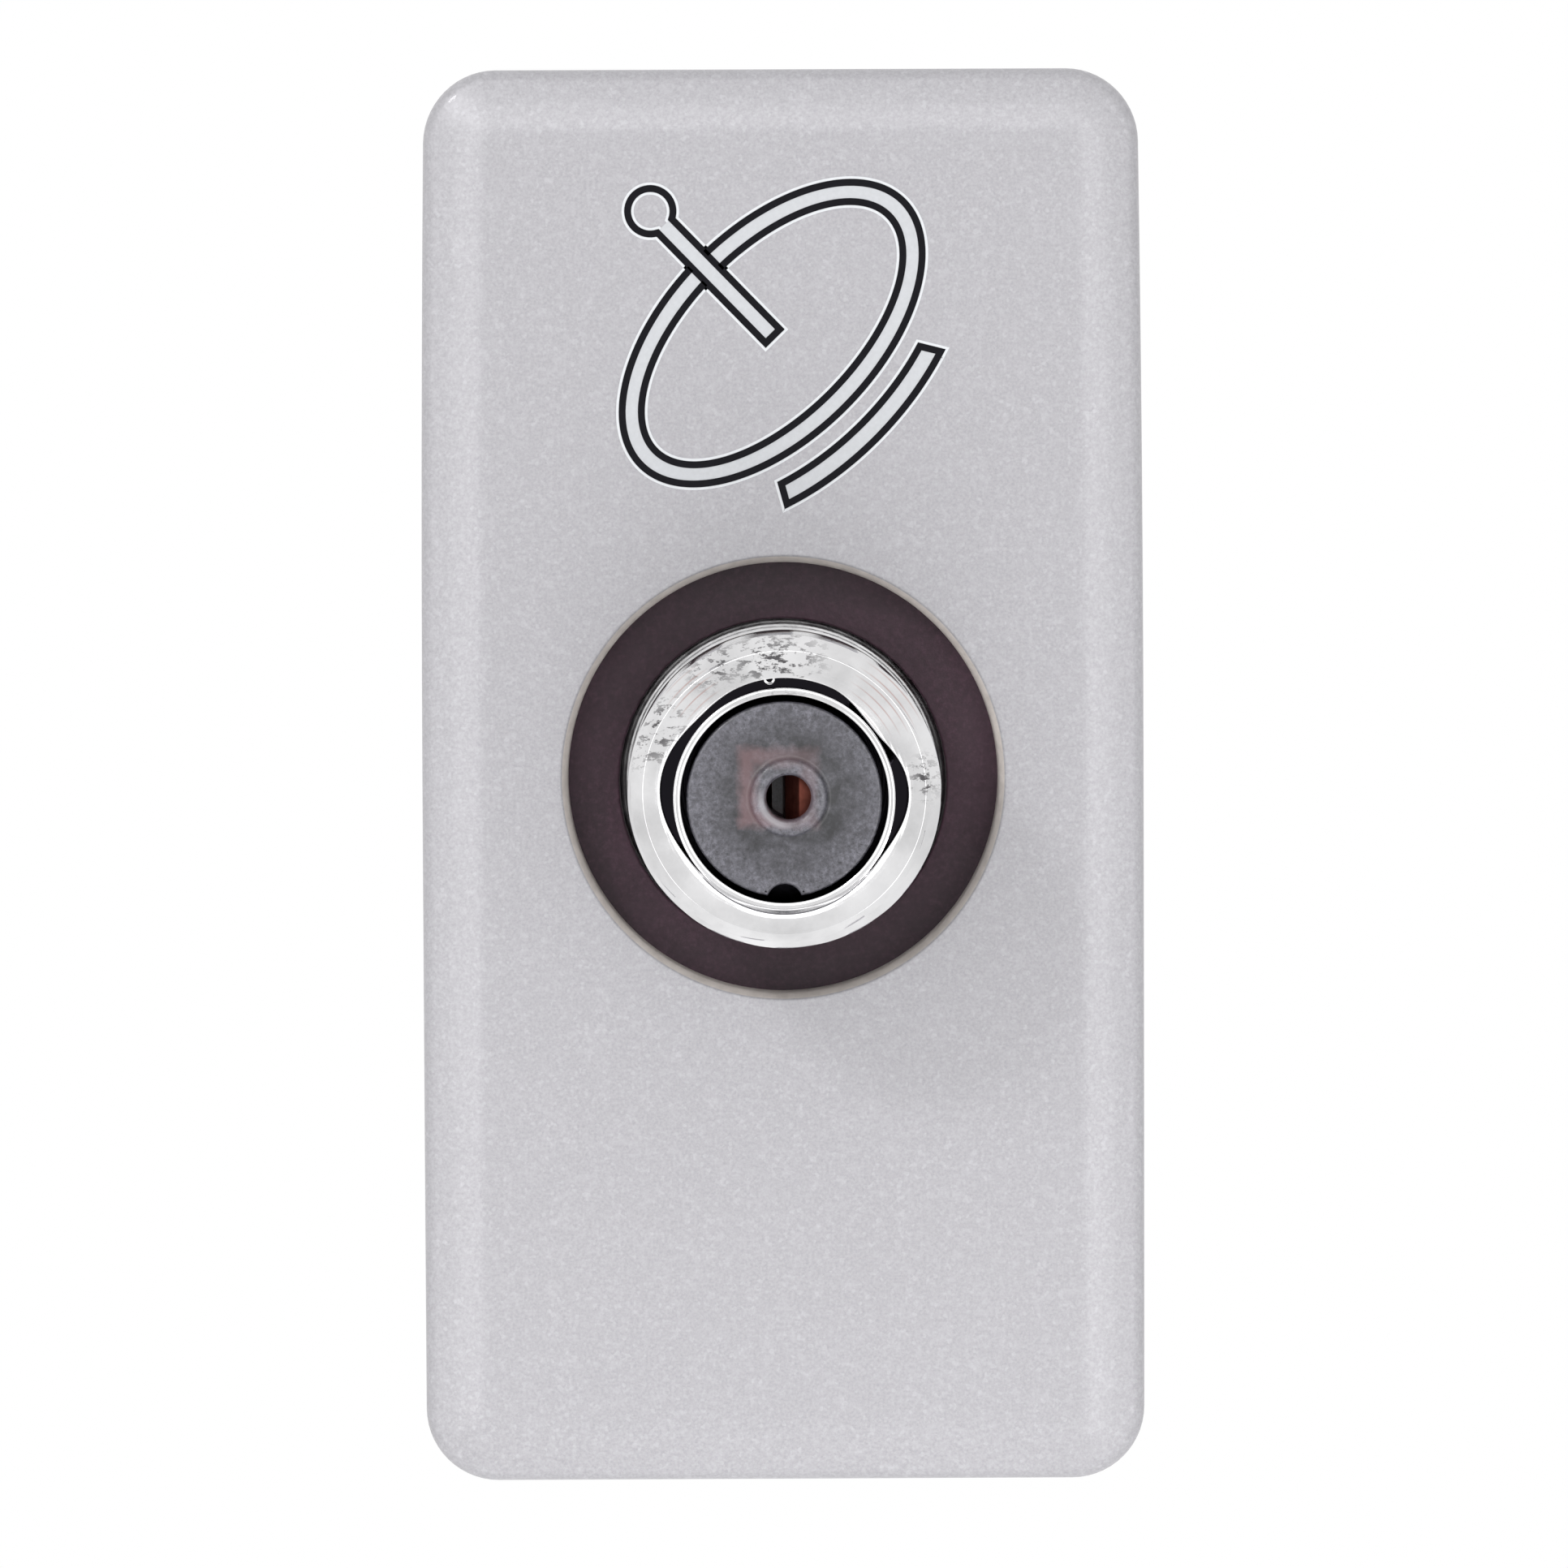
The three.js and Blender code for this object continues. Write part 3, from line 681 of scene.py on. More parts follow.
def track_mat():
    n = Nodes("board_track")
    base = (0.035, 0.215, 0.095)
    c = n.ramp(n.noise(1800, 4), [(0.3, scaled(base, 0.85)), (0.7, scaled(base, 1.15))])
    n.colour(c).rough(n.range(n.noise(2600, 3), 0.22, 0.36))
    n.set(Coat_Weight=0.3, Coat_Roughness=0.15)
    return n.mat


def solder_mat():
    n = Nodes("solder")
    s = n.noise(2600, 5, 0.6)
    c = n.ramp(s, [(0.3, (0.48, 0.48, 0.49)), (0.7, (0.72, 0.72, 0.72))])
    n.colour(c).rough(n.range(s, 0.14, 0.38))
    n.set(Metallic=1.0)
    n.normal(n.bump(s, 0.15, 0.00003))
    return n.mat


def simple(name, base, rough=(0.35, 0.5), metallic=0.0, scale=2500, bumps=0.12, coat=0.0, spread=0.2, specular=0.5):
    n = Nodes(name)
    g = n.noise(scale, 5, 0.62)
    c = n.ramp(g, [(0.3, scaled(base, 1 - spread)), (0.52, base), (0.75, scaled(base, 1 + spread * 1.3))])
    n.colour(c).rough(n.range(n.noise(scale * 1.3, 3), *rough))
    n.set(Metallic=metallic, Coat_Weight=coat, Coat_Roughness=0.1, Specular_IOR_Level=specular)
    n.normal(n.bump(g, bumps, 0.00003))
    return n.mat


M = {
    "lacquer": lacquer(),
    "bare": bare_plastic(),
    "dark": dark_plastic(),
    "nickel": nickel(),
    "cast": casting(),
    "cast_door": casting("zinc_casting_door", (0.53, 0.53, 0.54)),
    "zinc": zinc_steel(),
    "bronze": bronze(),
    "brass": brass(),
    "white": white_plastic(),
    "board": board_mat(),
    "track": track_mat(),
    "solder": solder_mat(),
    "ferrite": simple("ferrite", (0.03, 0.029, 0.031), (0.42, 0.62), 0.0, 3000, 0.25),
    "enamel": simple("enamelled_copper", (0.52, 0.19, 0.06), (0.16, 0.3), 0.85, 3000, 0.05, coat=0.5),
    "cap": simple("capacitor_coat", (0.50, 0.20, 0.055), (0.25, 0.42), 0.0, 1400, 0.18, coat=0.4),
    "chip": simple("resistor_body", (0.018, 0.018, 0.02), (0.2, 0.35), 0.0, 4000, 0.06, coat=0.2),
    "tin": simple("tinned_wire", (0.68, 0.68, 0.68), (0.18, 0.34), 1.0, 2600, 0.1),
    "ink": simple("pictogram_ink", (0.0035, 0.0033, 0.0055), (0.62, 0.75), 0.0, 5000, 0.08, spread=0.25, specular=0.12),
    "ink_light": simple("pictogram_edge", (0.60, 0.615, 0.635), (0.4, 0.5), 0.0, 6000, 0.06, spread=0.05),
    "ink_fill": simple("pictogram_fill", (0.46, 0.47, 0.49), (0.4, 0.5), 0.0, 6000, 0.06, spread=0.05),
}

# ------------------------------------------------------------------ front cover


CROWN = (0.015, 0.002)  # the long sides draw in these shares towards their upper and lower ends


def rr(inset, y, per=14, side=(5, 12)):
    """Points of the rounded rectangle at an inset from the face's outline."""
    hx, hz, r = HALF_W - inset, HALF_H - inset, max(2.25 - inset, 0.45)
    pts = []
    for (cx, cz, a0, n_side, nxt) in (
        (hx - r, hz - r, 0, side[0], (-(hx - r), hz)),
        (-(hx - r), hz - r, 90, side[1], (-hx, -(hz - r))),
        (-(hx - r), -(hz - r), 180, side[0], (hx - r, -hz)),
        (hx - r, -(hz - r), 270, side[1], (hx, hz - r)),
    ):
        for k in range(per + 1):
            a = math.radians(a0 + 90 * k / per)
            pts.append((cx + r * math.cos(a), y, cz + r * math.sin(a)))
        last = pts[-1]
        for k in range(1, n_side):
            t = k / n_side
            pts.append((last[0] + (nxt[0] - last[0]) * t, y, last[2] + (nxt[1] - last[2]) * t))
    return [(px * (1 - CROWN[pz < 0] * (pz / HALF_H) ** 2), py, pz) for px, py, pz in pts]


def make_cover():
    bm = bmesh.new()
    outer = rounded_path([(1.3, SKIRT_Y, 0), (0, SKIRT_Y, 0.25), (0, -8.44, 0.40), (1.62, FACE_Y, 0.85), (2.5, FACE_Y, 0)], 8)
    loops = [ring(bm, rr(d, y)) for d, y in outer]
    for a, b in zip(loops, loops[1:]):
        skin(bm, a, b)
    n = 160
    hole = rounded_path([(6.98, FACE_Y, 0), (6.86, FACE_Y, 0.10), (6.67, FACE_Y + 0.24, 0.16), (6.67, FACE_Y + 1.45, 0.1), (6.78, FACE_Y + 1.6, 0)], 5)
    rings = [ring(bm, circle(r, y, n)) for r, y in hole]
    for k, (a, b) in enumerate(zip(rings, rings[1:])):
        skin(bm, a, b, 0 if k < 4 else 1)
    fill_rings(bm, [loops[-1], rings[0]])
    inner = ring(bm, rr(1.3, FACE_Y + 1.6))
    skin(bm, loops[0], inner, 1)
    fill_rings(bm, [inner, rings[-1]], 1)
    return finish_mesh(bm, "face_cover", [M["lacquer"], M["bare"]], "housing", ("front_cover",), smooth=24)


cover = make_cover()

# ------------------------------------------------------------------ dish pictogram, generic, printed on the face
PX, PZ = -0.29, 13.73  # centre of the ring
INK_W = 0.215


def ell(a, b, k, n):
    t, c, s = 2 * PI * k / n, math.cos(PI / 4), math.sin(PI / 4)
    u, v = a * math.cos(t), b * math.sin(t)
    return Vector((PX + u * c - v * s, PZ + u * s + v * c))


def make_pictogram():
    ball, tail = Vector((-4.03, 17.5)), Vector((-0.27, 13.64))
    d = (tail - ball).normalized()
    nrm = Vector((-d.y, d.x))
    half, rb = 0.305, 0.70
    # feed arm: round head and square end in one outline
    a0 = math.asin(half / rb)
    head = []
    base = math.atan2(d.y, d.x)
    for k in range(41):
        a = base + a0 + (2 * PI - 2 * a0) * k / 40
        head.append(ball + Vector((math.cos(a), math.sin(a))) * rb)
    arm = head + [tail - nrm * half, tail + nrm * half]

    def in_arm(p):
        q = p - ball
        t = q.dot(d)
        return 0 < t < (tail - ball).length and abs(q.dot(nrm)) < half
    N = 720
    curves = []
    for a, b in ((5.73, 3.19), (5.11, 2.57)):
        pts = [ell(a, b, k, N) for k in range(N)]
        start = next(k for k in range(N) if in_arm(pts[k]) and not in_arm(pts[(k + 1) % N]))
        run = [pts[(start + 1 + k) % N] for k in range(N)]
        run = [p for p in run if not in_arm(p)]
        curves.append(run[::3] + [run[-1]])

    def offset(t, far):
        c_, s_ = math.cos(PI / 4), math.sin(PI / 4)
        nu, nv = math.cos(t) / 5.73, math.sin(t) / 3.186
        L = math.hypot(nu, nv)
        u, v = 5.73 * math.cos(t) + far * nu / L, 3.186 * math.sin(t) + far * nv / L
        return Vector((PX + u * c_ - v * s_, PZ + u * s_ + v * c_))
    nearest = {}
    for key, far, p in (("i0", 0.743, (-0.058, 9.131)), ("o0", 1.385, (0.113, 8.524)), ("i1", 0.743, (4.27, 13.307)), ("o1", 1.385, (4.831, 13.19))):
        nearest[key] = min((math.radians(d) / 4 for d in range(-4 * 150, -4 * 40)), key=lambda t: (offset(t, far) - Vector(p)).length)
    m_ = 48
    inner = [offset(nearest["i1"] + (nearest["i0"] - nearest["i1"]) * k / m_, 0.743) for k in range(m_ + 1)]
    outer = [offset(nearest["o1"] + (nearest["o0"] - nearest["o1"]) * k / m_, 1.385) for k in range(m_ + 1)]
    base_bar = inner + outer[::-1]
    ink, under, fill = bmesh.new(), bmesh.new(), bmesh.new()
    y0 = FACE_Y + 0.01
    for bm, w, y in ((ink, INK_W, FACE_Y - 0.016), (under, INK_W + 0.16, FACE_Y - 0.007)):
        for c in curves:
            ribbon(bm, c, w, y0, y, closed=False)
        ribbon(bm, arm, w, y0, y, closed=True)
        ribbon(bm, base_bar, w, y0, y, closed=True)
    # light fill of the ring's band, the arm and the base
    fy = FACE_Y - 0.009
    outs, ins = curves
    k_n = 260

    def resample(c, m):
        L = [0.0]
        for p, q in zip(c, c[1:]):
            L.append(L[-1] + (q - p).length)
        res, j = [], 0
        for k in range(m):
            s = L[-1] * k / (m - 1)
            while j < len(L) - 2 and L[j + 1] < s:
                j += 1
            t = (s - L[j]) / max(L[j + 1] - L[j], 1e-9)
            res.append(c[j].lerp(c[j + 1], t))
        return res
    ro, ri = resample(outs, k_n), resample(ins, k_n)
    va, vb = ring(fill, [(p.x, fy, p.y) for p in ro]), ring(fill, [(p.x, fy, p.y) for p in ri])
    wa, wb = ring(fill, [(p.x, y0, p.y) for p in ro]), ring(fill, [(p.x, y0, p.y) for p in ri])
    for i in range(k_n - 1):
        for a, b in ((va, vb), (wb, wa), (wa, va), (vb, wb)):
            fill.faces.new((a[i], a[i + 1], b[i + 1], b[i]))
    for i in (0, k_n - 1):
        fill.faces.new((va[i], vb[i], wb[i], wa[i]))
    start = ball + d * (rb - 0.1)
    prism(fill, [tuple(p) for p in (start - nrm * half, tail - nrm * half, tail + nrm * half, start + nrm * half)], y0, fy)
    prism(fill, [tuple(p) for p in base_bar], y0, fy)
    for bm in (ink, under, fill):
        bmesh.ops.triangulate(bm, faces=[f for f in bm.faces if len(f.verts) > 4])
    finish_mesh(under, "pictogram_underprint", M["ink_light"], "housing", smooth=30)
    finish_mesh(fill, "pictogram_fill", M["ink_fill"], "housing", smooth=30)
    finish_mesh(ink, "pictogram_outline", M["ink"], "housing", smooth=30)


make_pictogram()

# ------------------------------------------------------------------ F connector


def make_shell():
    bm = bmesh.new()
    n = 160
    rows = []
    depth = 0.46

    def const(r, y):
        return lambda t: (r, y)
    # outside: rear spigot and flange, relief neck, thread, chamfer
    outer = rounded_path([(3.9, 0.3, 0), (4.0, 0.2, 0), (4.0, -4.2, 0), (5.9, -4.2, 0.06), (6.0, -4.3, 0.06), (6.0, -5.6, 0.1), (5.85, -5.75, 0.1), (4.3, -5.75, 0.1), (4.3, -6.35, 0)], 3)
    rows += [const(r, y) for r, y in outer]
    y, step = -6.4, PITCH / 14
    while y > TIP_Y + 0.10:
        def f(t, y=y):
            r = thread_r(y, t, THREAD_R - 0.01, depth, PITCH)
            r = min(r, 4.30 + (y - TIP_Y - 0.04) * 1.0)  # lead-in chamfer
            r = min(r, 4.30 + (-6.3 - y) * 1.2) if y > -6.9 else r
            return (r, y)
        rows.append(f)
        y -= step
    # flat end, countersink, and the thin lip pressed round the insulator a little low in it
    low = -0.20
    rows += [const(r, y) for r, y in rounded_path([(4.31, TIP_Y + 0.03, 0), (4.28, TIP_Y, 0.02), (4.0, TIP_Y, 0)], 3)]

    def near_deg(t, centre, half):
        gap = abs((math.degrees(t) - centre + 180) % 360 - 180)
        u = max(0.0, 1 - gap / half)
        return u * u * (3 - 2 * u)

    def rim(t):
        return 3.47 + 0.28 * max(near_deg(t, -2, 36), near_deg(t, 178, 44)) + 0.20 * near_deg(t, 270, 75) - 0.16 * near_deg(t, 38, 30) - 0.05 * near_deg(t, 135, 30)

    def edge(add, y, share):
        return lambda t: (rim(t) + add, TIP_Y + y, low * share)

    def sunk(r, y, share):
        return lambda t: (r, y, low * share)

    def deep(t):
        """How open the recess is at an angle: closed along the foot and at one bridge by the upper right."""
        deg_ = math.degrees(t) % 360

        def step(x, x0, x1):
            u = min(max((x - x0) / (x1 - x0), 0), 1)
            return u * u * (3 - 2 * u)
        bridge = step(deg_, 18, 25) * (1 - step(deg_, 48, 55))
        foot = step(deg_, 205, 228) * (1 - step(deg_, 312, 334))
        return max(0.0, 1 - 0.55 * bridge - foot)

    def floor(k, shallow):
        """A point k of the way from the rim to the lip, at the recess's floor."""
        def f(t):
            a_, b_ = rim(t) - 0.03, 3.345
            return (a_ + (b_ - a_) * k, TIP_Y + shallow + (0.78 - shallow) * deep(t), low * (0.1 + 0.9 * k))
        return f
    rows += [edge(0.03, 0.0, 0.0), edge(0.012, 0.010, 0.02), edge(0.0, 0.03, 0.05), floor(0.0, 0.05), floor(0.1, 0.07), floor(0.4, 0.13), floor(0.8, 0.19), floor(1.0, 0.215),
             sunk(3.355, TIP_Y + 0.225, 1.0), sunk(3.33, TIP_Y + 0.205, 1.0), sunk(3.27, TIP_Y + 0.195, 1.0), sunk(3.19, TIP_Y + 0.20, 1.0), sunk(3.15, TIP_Y + 0.225, 1.0), sunk(3.14, TIP_Y + 0.30, 1.0), sunk(3.14, TIP_Y + 0.9, 1.0)]
    rows += [const(r, y) for r, y in ((3.3, TIP_Y + 1.4), (3.3, -6.2), (2.0, -6.2), (2.0, 0.3))]
    radial(bm, rows, n, 0, ZC)
    # staking burr on the inner lip
    burr = bmesh.new()
    loop = [Vector((0.135 * math.cos(2 * PI * k / 20), 0, 0.12 * math.sin(2 * PI * k / 20))) + Vector((-0.44, TIP_Y + 0.07, ZC + 3.42)) for k in range(20)]
    hoops = [ring(burr, [p + ((p - Vector((-0.44, TIP_Y + 0.07, ZC + 3.42))).normalized() * math.cos(2 * PI * j / 8) + Vector((0, math.sin(2 * PI * j / 8), 0))) * 0.045 for j in range(8)]) for p in loop]
    for k in range(20):
        skin(burr, hoops[k], hoops[(k + 1) % 20])
    merged(burr, bm)
    finish_mesh(bm, "f_connector_shell", M["nickel"], "housing", ("connector_shell",), smooth=38)


make_shell()

INS_X, INS_Z = 0.0, ZC - 0.22  # the insulator hangs in its clearance
HOLE_X, HOLE_Z = INS_X + 0.13, INS_Z + 0.05


def make_insulator():
    bm = bmesh.new()
    y = TIP_Y + 0.40
    R, rn = 2.96, 0.55
    # outline: circle with a round notch at six o'clock
    zc = -3.11
    a_hit = math.asin((R * R - rn * rn + zc * zc) / (2 * R * abs(zc)))
    pts, m = [], 150
    start, end = -a_hit + 0.0, PI + a_hit
    for k in range(m + 1):
        a = start + (end - start) * k / m
        pts.append((R * math.cos(a), R * math.sin(a)))
    p0, p1 = Vector(pts[-1]) - Vector((0, zc)), Vector(pts[0]) - Vector((0, zc))
    b0, b1 = math.atan2(p0.y, p0.x), math.atan2(p1.y, p1.x)
    for k in range(1, 24):
        a = b0 + (b1 - b0) * k / 24
        pts.append((rn * math.cos(a), zc + rn * math.sin(a)))

    def loop(shrink, yy):
        out = []
        for i, p in enumerate(pts):
            a, b = Vector(pts[i - 1]), Vector(pts[(i + 1) % len(pts)])
            t = (b - a).normalized()
            nn = Vector((-t.y, t.x))
            out.append((INS_X + p[0] + nn.x * shrink, yy, INS_Z + p[1] + nn.y * shrink))
        return ring(bm, out)
    L = [loop(0.0, -6.3), loop(0.0, y + 0.10), loop(0.012, y + 0.05), loop(0.05, y + 0.012), loop(0.10, y), loop(0.13, y)]
    for a, b in zip(L, L[1:]):
        skin(bm, a, b)
    cap(bm, list(reversed(L[0])))
    prof = rounded_path([(1.30, y, 0), (1.20, y - 0.03, 0.05), (1.10, y - 0.17, 0.07), (0.92, y - 0.2, 0.06), (0.74, y - 0.12, 0.06), (0.68, y + 0.05, 0.05), (0.68, y + 2.3, 0), (0.62, y + 2.35, 0)], 4)
    rings = [ring(bm, circle(r, yy, 72, HOLE_X, HOLE_Z)) for r, yy in prof]
    for a, b in zip(rings, rings[1:]):
        skin(bm, a, b)
    cap(bm, rings[-1])
    fill_rings(bm, [L[-1], rings[0]])
    return finish_mesh(bm, "front_dielectric", smoke((INS_X - 0.17, INS_Z + 0.36), (HOLE_X, HOLE_Z)), "housing", ("front_insulator",), smooth=34)


dielectric = make_insulator()


def make_contact():
    """Stamped box contact: a square sleeve with leaves that meet on the axis, and a round tail."""
    bm = bmesh.new()
    cx, cz, t = HOLE_X, HOLE_Z, 0.17
    # front leaves, seen through the pin hole
    ribbon(bm, [(cx + 1.05, -12.6), (cx + 1.0, -13.7), (cx + 0.78, -13.98), (cx + 0.35, -14.0), (cx - 0.02, -13.72), (cx - 0.08, -12.6), (cx - 0.06, -11.2), (cx + 0.25, -9.4)], t, cz - 0.85, cz + 0.85, plane="XY")
    ribbon(bm, [(cx - 1.0, -12.4), (cx - 0.85, -12.6), (cx - 0.62, -12.4), (cx - 0.30, -11.2), (cx - 0.55, -9.4)], t, cz - 0.85, cz + 0.85, plane="XY")
    round_edges(bm, 0.03, 40, 2)
    tail = bmesh.new()
    sq = 0.78
    lathe(tail, rounded_path([(0, -8.2, 0), (0.42, -8.2, 0.06), (0.42, 4.3, 0.12), (0, 4.5, 0)], 3), 24, 0, ZC)
    merged(tail, bm)
    sleeve = bmesh.new()
    o, i_ = 1.15, 0.98
    for y0, y1 in ((-12.35, -7.5),):
        a = ring(sleeve, [(cx - o, y0, cz - o), (cx + o, y0, cz - o), (cx + o, y0, cz + o), (cx - o, y0, cz + o)])
        b = ring(sleeve, [(cx - o, y1, cz - o), (cx + o, y1, cz - o), (cx + o, y1, cz + o), (cx - o, y1, cz + o)])
        c = ring(sleeve, [(cx - i_, y0, cz - i_), (cx + i_, y0, cz - i_), (cx + i_, y0, cz + i_), (cx - i_, y0, cz + i_)])
        d = ring(sleeve, [(cx - i_, y1, cz - i_), (cx + i_, y1, cz - i_), (cx + i_, y1, cz + i_), (cx - i_, y1, cz + i_)])
        skin(sleeve, a, b)
        skin(sleeve, d, c)
        skin(sleeve, c, a)
        skin(sleeve, b, d)
    round_edges(sleeve, 0.05, 40, 2)
    merged(sleeve, bm)
    finish_mesh(bm, "box_contact", M["bronze"], "housing", ("centre_contact",), smooth=35)


make_contact()

# ------------------------------------------------------------------ moulded body and its snap tongues


def make_body():
    refined("module_body", "moulded_body", M["dark"], "housing", width=0.14, angle=40, seg=3, smooth=50)
    # ejector marks on the rear edge of the moulding
    bm = bmesh.new()
    y = hi("module_body").y
    for x, z in ((-9.5, 6), (9.5, 6), (-9.5, -8), (9.5, -8)):
        lathe(bm, rounded_path([(0, y - 0.2, 0), (0.62, y - 0.2, 0), (0.62, y - 0.02, 0), (0.5, y - 0.02, 0.03), (0.46, y - 0.06, 0.03), (0, y - 0.06, 0)], 3), 28, x, z)
    finish_mesh(bm, "ejector_marks", M["dark"], "housing")


def make_latch(s, name, node):
    """A tongue with its hook, its root run into the body."""
    def side(y):
        return 19.7 if y >= 4.9 else (19.7 + (4.9 - y) * 0.6 if y > 2.9 else 20.9)
    ys = [2.2, 2.3, 2.5, 2.7, 2.9, 3.1, 3.4, 3.9, 4.4, 4.8, 4.95, 5.2] + [5.2 + 0.25 * k for k in range(1, 14)]
    bm = bmesh.new()
    rows = []
    for i, y in enumerate(ys):
        e = 0.13 if i == 0 else (0.04 if i == 1 else 0.0)
        zi, zo = 18.6 + e, side(y) - e
        w, c = 3.0 - e, 0.12
        loop = [(w - c, zi), (w, zi + c), (w, zo - c), (w - c, zo), (-w + c, zo), (-w, zo - c), (-w, zi + c), (-w + c, zi)]
        rows.append(ring(bm, [(x, y, s * z) for x, z in loop]))
    for a, b in zip(rows, rows[1:]):
        skin(bm, a, b)
    cap(bm, list(reversed(rows[0])))
    cap(bm, rows[-1])
    ob = finish_mesh(bm, name, M["dark"], None, (node,), smooth=28)
    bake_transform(ob)


make_body()
make_latch(1, "snap_tongue_upper", "latch_tongue_upper")
make_latch(-1, "snap_tongue_lower", "latch_tongue_lower")

# ------------------------------------------------------------------ shield: case, door and pin


def make_shield():
    refined("diecast_case", "shield_case", M["cast"], "housing", width=0.16, angle=40, seg=2, smooth=45)
    refined("rear_door", "shield_door", M["cast_door"], "door", width=0.16, angle=40, seg=2, smooth=45)
    pin = bmesh.new()
    lathe(pin, rounded_path([(0, -5.2, 0), (0.6, -5.2, 0.3), (0.6, 5.2, 0.3), (0, 5.2, 0)], 5), 32)
    pin.transform(Matrix.Translation((0, 19.3, ZC + 17.2)) @ Matrix.Rotation(PI / 2, 4, "Z"))
    finish_mesh(pin, "hinge_rod", M["zinc"], "housing", ("hinge_pin",))
    # clamping ribs across the door's jaw groove
    ribs = bmesh.new()
    for z in (-11.6, -10.2, -8.8, -7.5):
        pts = []
        for k in range(13):
            a = math.radians(38 + 104 * k / 12)
            pts.append((3.62 * math.cos(a), 14.4 + 3.62 * math.sin(a), ZC + z))
        wire(ribs, pts, 0.16, 8)
    finish_mesh(ribs, "jaw_ribs", M["cast_door"], "door")


make_shield()

# ------------------------------------------------------------------ screws and washers


def recess(x, z, y, depth, arms, half, length, taper=0.12):
    """A slot or a cross cut down into a screw head whose top is at y."""
    bm = bmesh.new()
    for k in range(arms):
        w0, w1 = (half, half * (1 - taper)), (length, length * (1 - taper))
        top = [(-w1[0], -w0[0]), (w1[0], -w0[0]), (w1[0], w0[0]), (-w1[0], w0[0])]
        low = [(-w1[1], -w0[1]), (w1[1], -w0[1]), (w1[1], w0[1]), (-w1[1], w0[1])]
        if k:
            top, low = [(b, -a) for a, b in top], [(b, -a) for a, b in low]
        a = ring(bm, [(x + p, y + 0.4, z + q) for p, q in top])
        b = ring(bm, [(x + p, y - depth, z + q) for p, q in low])
        skin(bm, a, b)
        cap(bm, a)
        cap(bm, list(reversed(b)))
        if k == 0 and arms > 1:
            first = bm
            bm = bmesh.new()
    if arms > 1:
        return boolean(first, bm, "UNION")
    return bm


def make_screw(name, node, body, x, z, tip, seat, top, r, head_r, pitch, arms, slot_half, slot_len, depth, point=0.6, dome=0.5, turns_to=None):
    """A threaded shank from tip to seat and a head from seat to top, along +Y."""
    bm = bmesh.new()
    n = 48
    rows = [lambda t: (0.02, tip)]
    y, step, d = tip, pitch / 10, r * 0.17
    end = turns_to or seat - 0.25
    while y < end:
        def f(t, y=y):
            rr_ = thread_r(y, t, r, d, pitch)
            lead = 0.30 * r + (y - tip) * (0.7 * r / max(point, 0.05))
            return (min(rr_, lead), y)
        rows.append(f)
        y += step
    rows.append(lambda t: (r * 0.86, end + 0.05))
    rows.append(lambda t: (r * 0.86, seat + 0.05))
    rs = radial(bm, rows, n, x, z, closed=False)
    cap(bm, list(reversed(rs[0])))
    cap(bm, rs[-1])
    head = bmesh.new()
    lathe(head, rounded_path([(0, seat, 0), (head_r, seat, 0.12), (head_r, seat + (top - seat) * (1 - dome), 0.3), (head_r * 0.72, top, 0.3), (0, top, 0)], 5), 56, x, z)
    head = boolean(head, recess(x, z, top, depth, arms, slot_half, slot_len))
    merged(head, bm)
    return finish_mesh(bm, name, M["zinc"], body, (node,), smooth=38)


def make_fasteners():
    wx, wz = 6.6, ZC - 12.0
    make_screw("clamping_screw", "door_screw", "door_fastener", wx, wz, 19.02, 24.0, 25.7, 1.25, 2.25, 0.45, 2, 0.33, 1.42, 0.85, point=0.5)
    bm = bmesh.new()
    lathe(bm, rounded_path([(1.35, 23.43, 0.08), (2.4, 23.43, 0.16), (2.4, 24.0, 0.08), (1.35, 24.0, 0.08)], 4, closed=True), 64, wx, wz)
    finish_mesh(bm, "screw_washer", M["zinc"], "door_washer", ("door_screw_washer",))
    for name, node, x, z in (("tapping_screw_upper", "case_screw_upper", -7.6, 17.6), ("tapping_screw_lower", "case_screw_lower", 7.6, -17.95)):
        make_screw(name, node, "housing", x, z, 3.62, 11.3, 12.7, 1.05, 1.9, 0.8, 2, 0.28, 1.22, 0.8, point=1.3)
    make_screw("terminal_clamping_screw", "terminal_screw", "clamp_fastener", 0, ZC + 5.2, 13.54, 17.3, 18.8, 1.25, 2.1, 0.45, 1, 0.34, 2.6, 0.8, point=0.3, dome=0.18)


make_fasteners()


